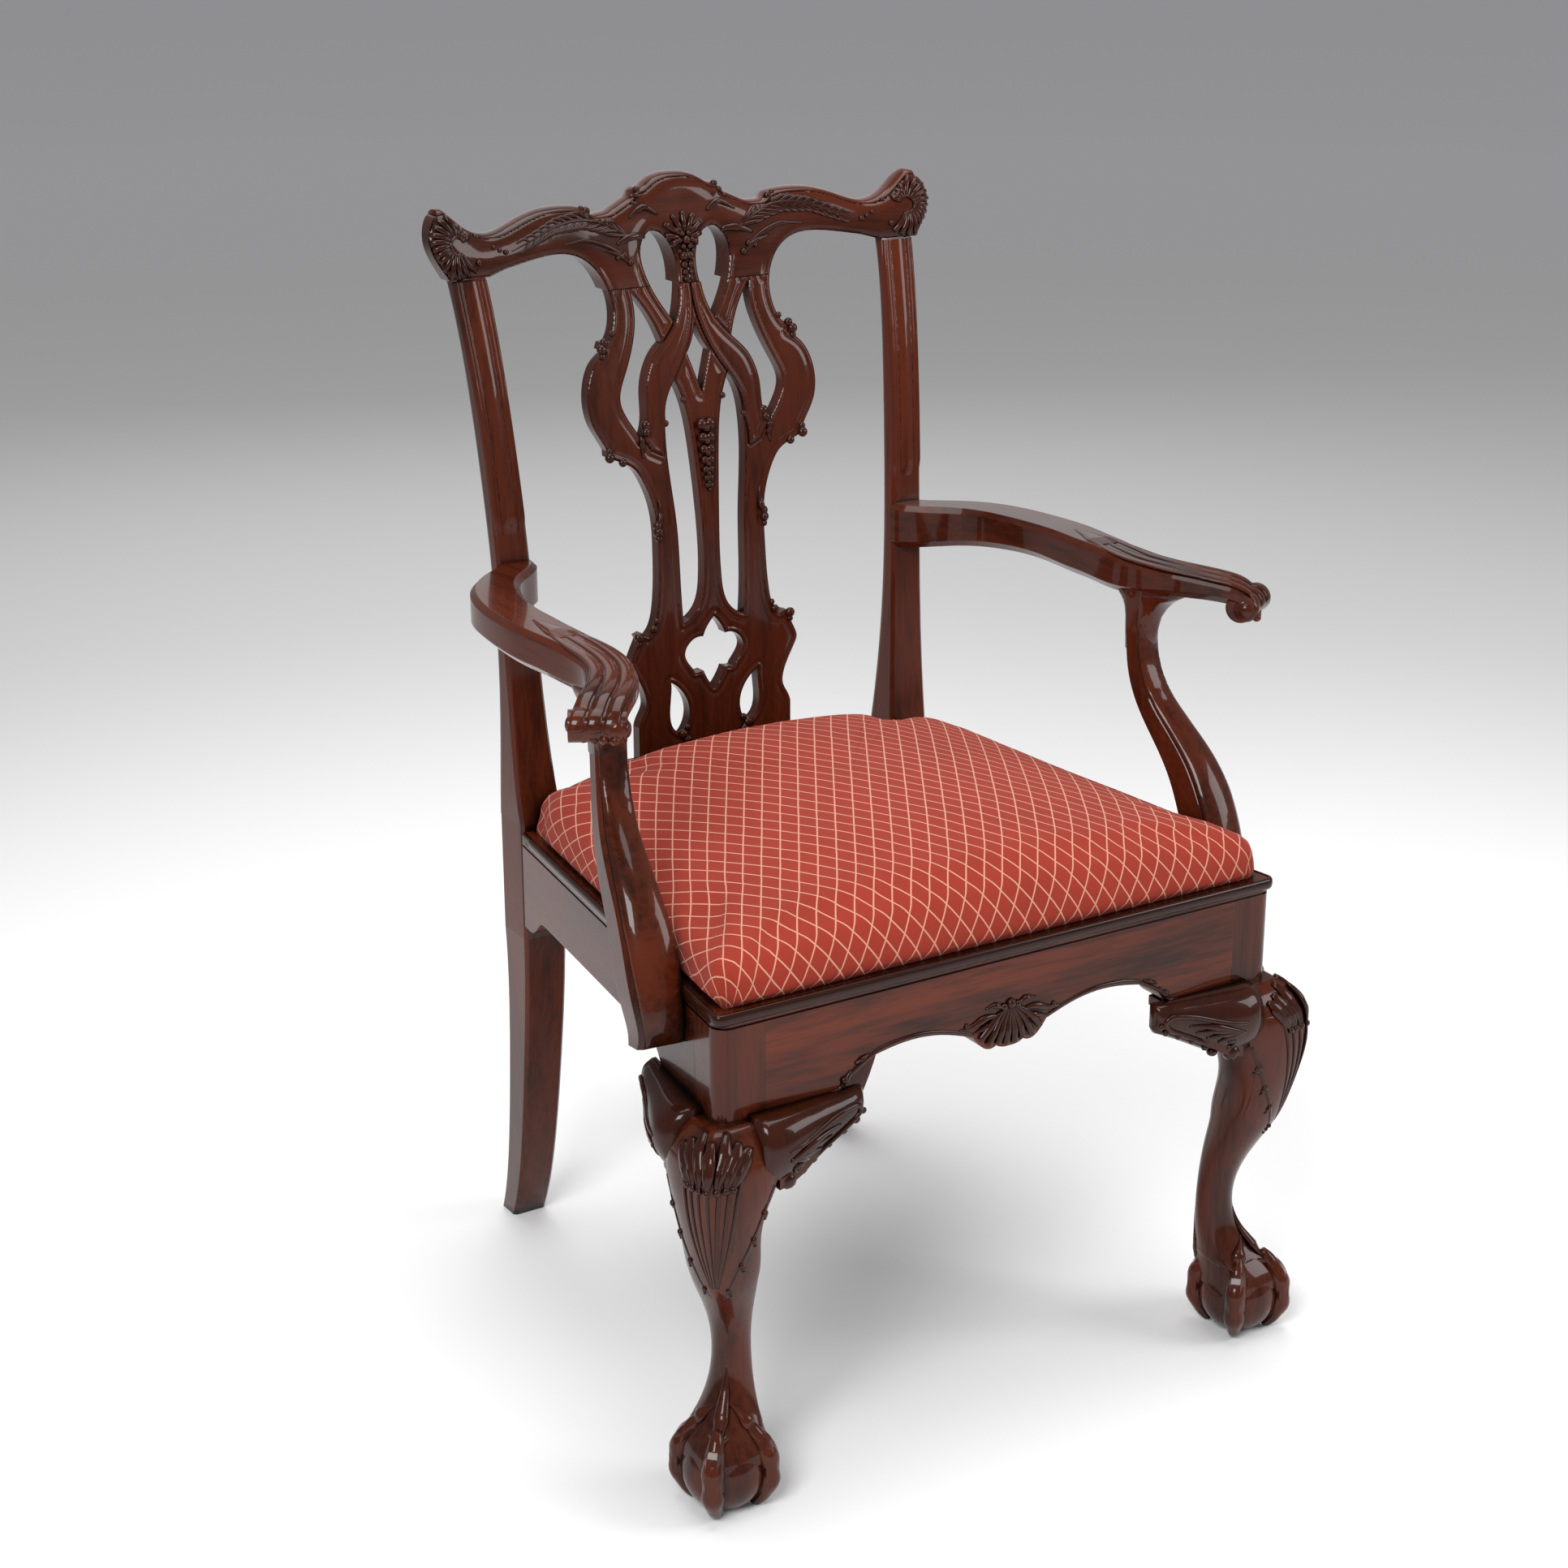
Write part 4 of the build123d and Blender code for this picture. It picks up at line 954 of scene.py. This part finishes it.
armWork = {
    "path": [(283, -5, 680, 44), (280, -55, 679, 41), (281, -90, 680, 40), (289, -122, 682, 41),
        (306, -150, 681, 43), (322, -166, 676, 44), (333, -178, 664, 42)], "reeds": (-0.34, 0, 0.34),
    "roll": (328, -171, 665.5), "eye": 0.0235, "tongue": ((284, 24), (283, 4), (281, -18), (280, -34)),
    "ends": [(-1, 0.0072), (-0.9, 0.0108), (-0.6, 0.0122), (0, 0.0124), (0.6, 0.0122), (0.9, 0.0108), (1, 0.0072)],
    "collar at": (277.5, -87.5),
    "collar": [(612, 13.1, 12, 12), (630, 13.5, 12.8, 12.6), (642, 14.2, 14.6, 14), (650, 15.2, 18.2, 16.6),
        (656, 16.4, 23, 20), (660.5, 17.6, 29, 24), (664, 18.3, 35, 28), (674, 18.3, 37, 30)],
    "support": [(277, -87, 634, 26), (277, -88, 612, 26), (280, -97, 576, 28), (287, -119, 543, 32),
        (292, -146, 512, 37), (294, -170, 472, 42), (294, -186, 430, 43), (294, -191, 410, 42),
        (294, -193, 394, 36)]}


# Reeded scroll at the end of an arm, the swell down its support and the collar between them
def carveArm(hand, side):
    work = Carving("arm_carving_" + hand)
    arm = surfaceOf("arm_" + hand)
    path = [Vector(p[:3]) for p in armWork["path"]]
    last = len(path) - 1
    for off in armWork["reeds"]:
        guide = []
        for i, p in enumerate(path):
            way = wayAt(path, i)
            across = Vector((-way.y, way.x, 0)).normalized()
            q = p + across * (off * armWork["path"][i][3] * (0.55 if i == 0 else 0.9))
            fall = max(0.0, (i - last + 2) / 2)
            guide.append((mm(side * q.x, q.y, q.z), (-0.72 * side * fall, 0.69 * fall, -1 + 0.75 * fall)))
        work.rib(trace(arm, guide), [2, 7.2, 10.5, 11.8, 12.2, 12.4, 12], [0.2, 0.7, 1.2, 1.5, 1.7, 1.8, 1.4])
    # tongue that ends the plain part of the arm
    guide = [(mm(side * x, y, 680), (0, 0, -1)) for x, y in armWork["tongue"]]
    work.rib(trace(arm, guide), [3, 14, 26, 30], [0.3, 1.4, 2.4, 0.4])
    # eyes and beads of the scroll
    roll = mm(side * armWork["roll"][0], *armWork["roll"][1:])
    axle = Vector((side * 0.66, 0.75, 0)).normalized()
    outward = Vector((side * 0.75, -0.66, 0)).normalized()
    wide = armWork["eye"]
    work.limb([(*(roll + axle * (wide * t)), r) for t, r in armWork["ends"]], Vector((0, 0, 1)), 18)
    for end in (-1, 1):
        work.ball(roll + axle * (end * wide), axle, 0.0072, 0.5)
    for k in range(-2, 3):
        work.ball(roll + axle * (k * 0.0088) + outward * 0.0098 + Vector((0, 0, -0.0068)), outward, 0.0041)
    guide = [(mm(side * x, y, z), (0, 1, -0.25)) for x, y, z, w in armWork["support"]]
    work.rib(trace(surfaceOf("arm_support_" + hand), guide), [w * 0.97 for x, y, z, w in armWork["support"]],
             [0.2, 2.2, 5, 6.8, 8.2, 9, 9, 8.6, 1.2])
    rings = []
    cx, cy = armWork["collar at"]
    for z, half, fore, aft in armWork["collar"]:
        ring = []
        for a in turns(28):
            u, v = (copysign(abs(w) ** 0.6, w) for w in (cos(a), sin(a)))
            y = cy + (aft if v > 0 else fore) * v
            centre = float(np.interp(-y, [-p.y for p in path], [p.x for p in path]))
            ring.append(mm(side * (cx + (centre - cx) * ease((z - 630) / 30) + half * u), y, z))
        rings.append(ring)
    work.loft(rings)
    work.finish("side")


for hand, side in hands:
    carveArm(hand, side)
print("arms reeded")

# Floor colour: paler near the chair and grey further out, a painted pool of light, then paler again from 3.5 m to 9 m
# out
floor = {
    "near": (0.97, 0.97, 0.97), "mid": (0.74, 0.74, 0.74), "far": (0.93, 0.93, 0.94), "fade": (0.9, 2.5),
    "lift": (3.5, 9), "half": 60}


def layFloor():
    mesh = bpy.data.meshes.new("studioFloor")
    r = floor["half"]
    mesh.from_pydata([(-r, -r, 0), (r, -r, 0), (r, r, 0), (-r, r, 0)], [], [(0, 1, 2, 3)])
    piece = bpy.data.objects.new("studioFloor", mesh)
    scene.collection.objects.link(piece)
    paint = Finish("floorPaintedLightPool", Roughness=0.9, Specular_IOR_Level=0.1)
    spot = paint.node("ShaderNodeTexCoord", out=3)
    far = paint.node("ShaderNodeVectorMath", {"operation": "LENGTH"}, {0: spot}, 1)
    # painted pool of light: the floor is paler near the chair, fading to grey
    shade = paint.mix(far.over(*floor["fade"]), floor["near"], floor["mid"])
    paint.feed(Base_Color=paint.mix(far.over(*floor["lift"]), shade, floor["far"]))
    dress(piece, paint.material)


# Place of each lamp, height that it is aimed at, size and power
lamps = {
    "keyLeft": ((-2.3, -1.9, 2.7), 0.5, 1.4, 86), "fillRight": ((2.6, -2.2, 2), 0.5, 1.6, 46),
    "overhead": ((0.2, 0.2, 3.2), 0.4, 2.2, 60), "behind": ((1.2, 2.8, 2.2), 0.6, 2.6, 14)}
sky = (0.29, 0.29, 0.295, 1)


def hangLamps():
    for name, (place, aim, size, power) in lamps.items():
        data = bpy.data.lights.new(name, "AREA")
        data.energy = power
        data.size = size
        piece = bpy.data.objects.new(name, data)
        piece.location = place
        piece.rotation_euler = (Vector((0, 0, aim)) - Vector(place)).to_track_quat("-Z", "Y").to_euler()
        scene.collection.objects.link(piece)
    world = bpy.data.worlds.new("studio")
    world.use_nodes = True
    world.node_tree.nodes["Background"].inputs[0].default_value = sky
    scene.world = world


layFloor()
hangLamps()
print("studio set")


# Plan of the cover at the rebate, its corners rounded, as evenly spaced points
def seatPlan():
    s = seatShape
    inset = s["lip"] + s["gap"]
    y0 = s["front"] + inset
    yn = s["back"] - s["gap"]
    y1 = s["rear"] - s["gap"]
    xn = s["notch"] - s["gap"]
    corners = [(sideX(y0, inset), y0, s["round"]), (sideX(yn, inset), yn, 0.006), (xn, yn, 0.004), (xn, y1, 0.006)]
    corners += [(-x, y, r) for x, y, r in reversed(corners)]
    dense = []
    n = len(corners)
    for i in range(n):
        p = Vector(corners[i][:2])
        a = (Vector(corners[i - 1][:2]) - p).normalized()
        b = (Vector(corners[(i + 1) % n][:2]) - p).normalized()
        r = corners[i][2]
        dense += [bend(p + a * r, p, p + b * r, k / 8) for k in range(9)]
    lengths = [0.0]
    for i in range(len(dense)):
        lengths.append(lengths[-1] + (dense[(i + 1) % len(dense)] - dense[i]).length)
    points = []
    k = 0
    for c in range(s["count"]):
        at = lengths[-1] * c / s["count"]
        while lengths[k + 1] < at:
            k += 1
        t = (at - lengths[k]) / max(1e-9, lengths[k + 1] - lengths[k])
        points.append(dense[k].lerp(dense[(k + 1) % len(dense)], t))
    return points


crown = {
    "at": [-0.275, -0.272, -0.263, -0.239, -0.1534, -0.0399, 0.0838, 0.1396, 0.158, 0.174, 0.188, 0.197],
    "side": [0.3, 0.38, 0.42, 0.44, 0.44, 0.46, 0.51, 0.52, 0.49, 0.4, 0.32, 0.2],
    "rise": [0.34, 0.48, 0.6, 0.77, 0.93, 1, 1, 0.93, 0.85, 0.74, 0.6, 0.36], "proud": 0.002}


def crownTop(x, y):
    s = seatShape
    near = [y + d * 0.001 for d in (-9, -4, 0, 4, 9)]
    side = float(np.mean(np.interp(near, crown["at"], crown["side"])))
    rise = float(np.mean(np.interp(near, crown["at"], crown["rise"])))
    q = min(abs(x) / sideX(y, s["lip"]), 1.0)
    return s["base"] + crown["proud"] + s["high"] * (side + (rise - side) * (1 - q ** 2.2))


pull = {
    "quality": 6, "mass": 0.35, "tension_stiffness": 20, "compression_stiffness": 20, "bending_stiffness": 2,
    "vertex_group_mass": "held", "use_pressure": True, "uniform_pressure_force": 3}
pulling = {"voxel": 0.008, "most": 0.005, "frames": 20, "above": 0.4494, "ease": 0.008, "near": 8}


# The cloth pulls tight over the stuffing: a short cloth run on a coarse copy, its moves carried back to the cover
def pullTight(verts, faces):
    mesh = bpy.data.meshes.new("seat_pull")
    low = pulling["above"]
    mesh.from_pydata([tuple(v) for v in verts], [], faces + [tuple(reversed(range(seatShape["count"])))])
    coarse = bpy.data.objects.new("seat_pull", mesh)
    scene.collection.objects.link(coarse)
    remesh = coarse.modifiers.new("even", "REMESH")
    remesh.mode = "VOXEL"
    remesh.voxel_size = pulling["voxel"]
    even = bpy.data.meshes.new_from_object(coarse.evaluated_get(bpy.context.evaluated_depsgraph_get()))
    coarse.modifiers.remove(remesh)
    coarse.data = even
    before = [v.co.copy() for v in even.vertices]
    held = coarse.vertex_groups.new(name="held")
    held.add([i for i, v in enumerate(before) if v.z < low], 1.0, "ADD")
    cloth = coarse.modifiers.new("cloth", "CLOTH")
    for key, value in pull.items():
        setattr(cloth.settings, key, value)
    cloth.settings.effector_weights.gravity = 0
    cloth.point_cache.frame_start = 1
    cloth.point_cache.frame_end = pulling["frames"]
    for k in range(pulling["frames"]):
        scene.frame_set(k + 1)
    pulled = coarse.evaluated_get(bpy.context.evaluated_depsgraph_get()).data
    moves = []
    for a, v in zip(before, pulled.vertices):
        move = v.co - a
        moves.append(move * min(1.0, pulling["most"] / max(move.length, 1e-9)))
    scene.frame_set(1)
    tree = nearTree(before)
    out = []
    for v in verts:
        near = tree.find_n(v, pulling["near"])
        weights = [1 / (d * d + 4e-6) for q, i, d in near]
        move = sum((moves[i] * w for (q, i, d), w in zip(near, weights)), Vector()) / sum(weights)
        out.append(v + move * ease((v.z - low) / pulling["ease"]))
    bpy.data.objects.remove(coarse)
    return out


cover = {
    "middle": (0, -0.03), "swell to": 0.13, "swell fade": 0.03, "shoulder": 0.467, "tuck": 0.014, "pleat": 0.0028,
    "pleat wide": 0.005, "square": 0.006,
    "walls": [(0, 0.4374, 1), (0, 0.4462, 1), (0.32, 0.4494, 0.8), (0.72, 0.4545, 0.4), (0.96, 0.461, 0.1),
        (1, 0.467, 0)]}


# Cover of the loose seat, from under its frame up over the crown
def seatCover():
    s = seatShape
    plan = seatPlan()
    n = len(plan)
    outward = []
    for i in range(n):
        along = plan[(i + 1) % n] - plan[i - 1]
        outward.append(Vector((along.y, -along.x)).normalized())
    middle = Vector(cover["middle"])
    swell = [1 - ease((p.y - cover["swell to"]) / cover["swell fade"]) for p in plan]
    for again in range(24):
        swell = [(swell[i - 1] + swell[i] * 2 + swell[(i + 1) % n]) / 4 for i in range(n)]
    # low down the cloth is drawn square round the seat frame's front corners
    inset = s["lip"] + s["gap"]
    slope = (s["half front"] - s["half back"]) / (s["back"] - s["front"])
    square = []
    for p, o in zip(plan, outward):
        reach = 0.0
        if p.y < -0.2 and o.y < -0.02 and abs(o.x) > 0.02:
            reach = min((s["front"] + inset - p.y) / o.y,
                        (sideX(p.y, inset) - abs(p.x)) / max(1e-3, abs(o.x) + slope * o.y))
        square.append(min(max(reach, 0.0), cover["square"]))
    corner = Vector((sideX(plan[0].y, s["lip"]), s["front"] + s["lip"]))
    pleat = []
    for p in plan:
        off = (Vector((abs(p.x), p.y)) - corner).length - s["round"] * 0.3
        pleat.append(cover["pleat"] * exp(-(off / cover["pleat wide"]) ** 2))
    rings = []
    for over, z, fill in [(0, s["low"], 1)] + cover["walls"]:
        rings.append([Vector((*(p + o * (over * (s["over"] * f - c) + fill * k)), z))
                      for p, o, f, c, k in zip(plan, outward, swell, pleat, square)])
    for k in range(1, 8):
        a = pi / 2 * k / 7
        ring = []
        for p, o, f, c in zip(plan, outward, swell, pleat):
            q = p + o * (s["over"] * f - cover["tuck"] * (1 - cos(a)) - c * cos(a))
            ring.append(Vector((*q, cover["shoulder"] + (crownTop(*q) - cover["shoulder"]) * sin(a))))
        rings.append(ring)
    edge = [p.to_2d() for p in rings[-1]]
    for k in range(1, 42):
        places = [middle + (p - middle) * (1 - k / 42) for p in edge]
        rings.append([Vector((*q, crownTop(*q))) for q in places])
    verts = [v for ring in rings for v in ring] + [Vector((*middle, crownTop(*middle)))]
    top = len(verts) - 1
    faces = disc(len(rings), n)
    # the cloth's own measure, run outwards from the middle
    flat = [None] * len(verts)
    flat[top] = middle.copy()
    for k in range(n):
        spot = middle.copy()
        before = verts[top]
        for i in reversed(range(len(rings))):
            here = rings[i][k]
            way = (here - before).to_2d()
            if way.length < 1e-4 or i < 8:
                way = outward[k]
            spot = spot + way.normalized() * (here - before).length
            flat[i * n + k] = spot
            before = here
    verts = pullTight(verts, faces)
    piece = makePiece("seat_upholstery", verts, faces, "trellis", "slip_seat")
    uv = piece.data.uv_layers.new(name="cloth")
    for loop in piece.data.loops:
        uv.data[loop.index].uv = flat[loop.vertex_index]
    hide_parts("seat_cover", "seat_stuffing")


dust = {
    "z": 0.4286, "sag": 0.003, "inset": 0.036, "front": -0.241, "rear": 0.176, "notch": 0.159, "step back": 0.153,
    "corner": 0.02, "rings": 16, "ripple": 0.0004}


# Black cloth tacked under the seat frame
def dustCloth():
    d = dust
    wide = sideX(d["front"], d["inset"])
    corners = [(wide - d["corner"], d["front"]), (wide, d["front"] + d["corner"]),
               (sideX(d["step back"], d["inset"]), d["step back"]), (d["notch"], d["step back"]),
               (d["notch"], d["rear"])]
    corners += [(-x, y) for x, y in reversed(corners)]
    line = []
    n = len(corners)
    for i in range(n):
        a, b = Vector(corners[i]), Vector(corners[(i + 1) % n])
        count = max(2, int((b - a).length / 0.012))
        line += [a.lerp(b, k / count) for k in range(count)]
    work = Carving("seat_underside")
    middle = Vector(cover["middle"])
    for k in range(d["rings"]):
        f = 1 - k / d["rings"]
        for p in line:
            ripple = d["ripple"] * sin(90 * (p.x + p.y)) * (1 - f) * f * 4
            work.verts.append(Vector((*(middle + (p - middle) * f), d["z"] - d["sag"] * (1 - f ** 4) + ripple)))
    work.verts.append(Vector((*middle, d["z"] - d["sag"])))
    work.faces = disc(d["rings"], len(line))
    piece = work.finish("black", "black_cloth", "slip_seat")
    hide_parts("seat_dust_cloth")


seatCover()
dustCloth()
print("seat covered")
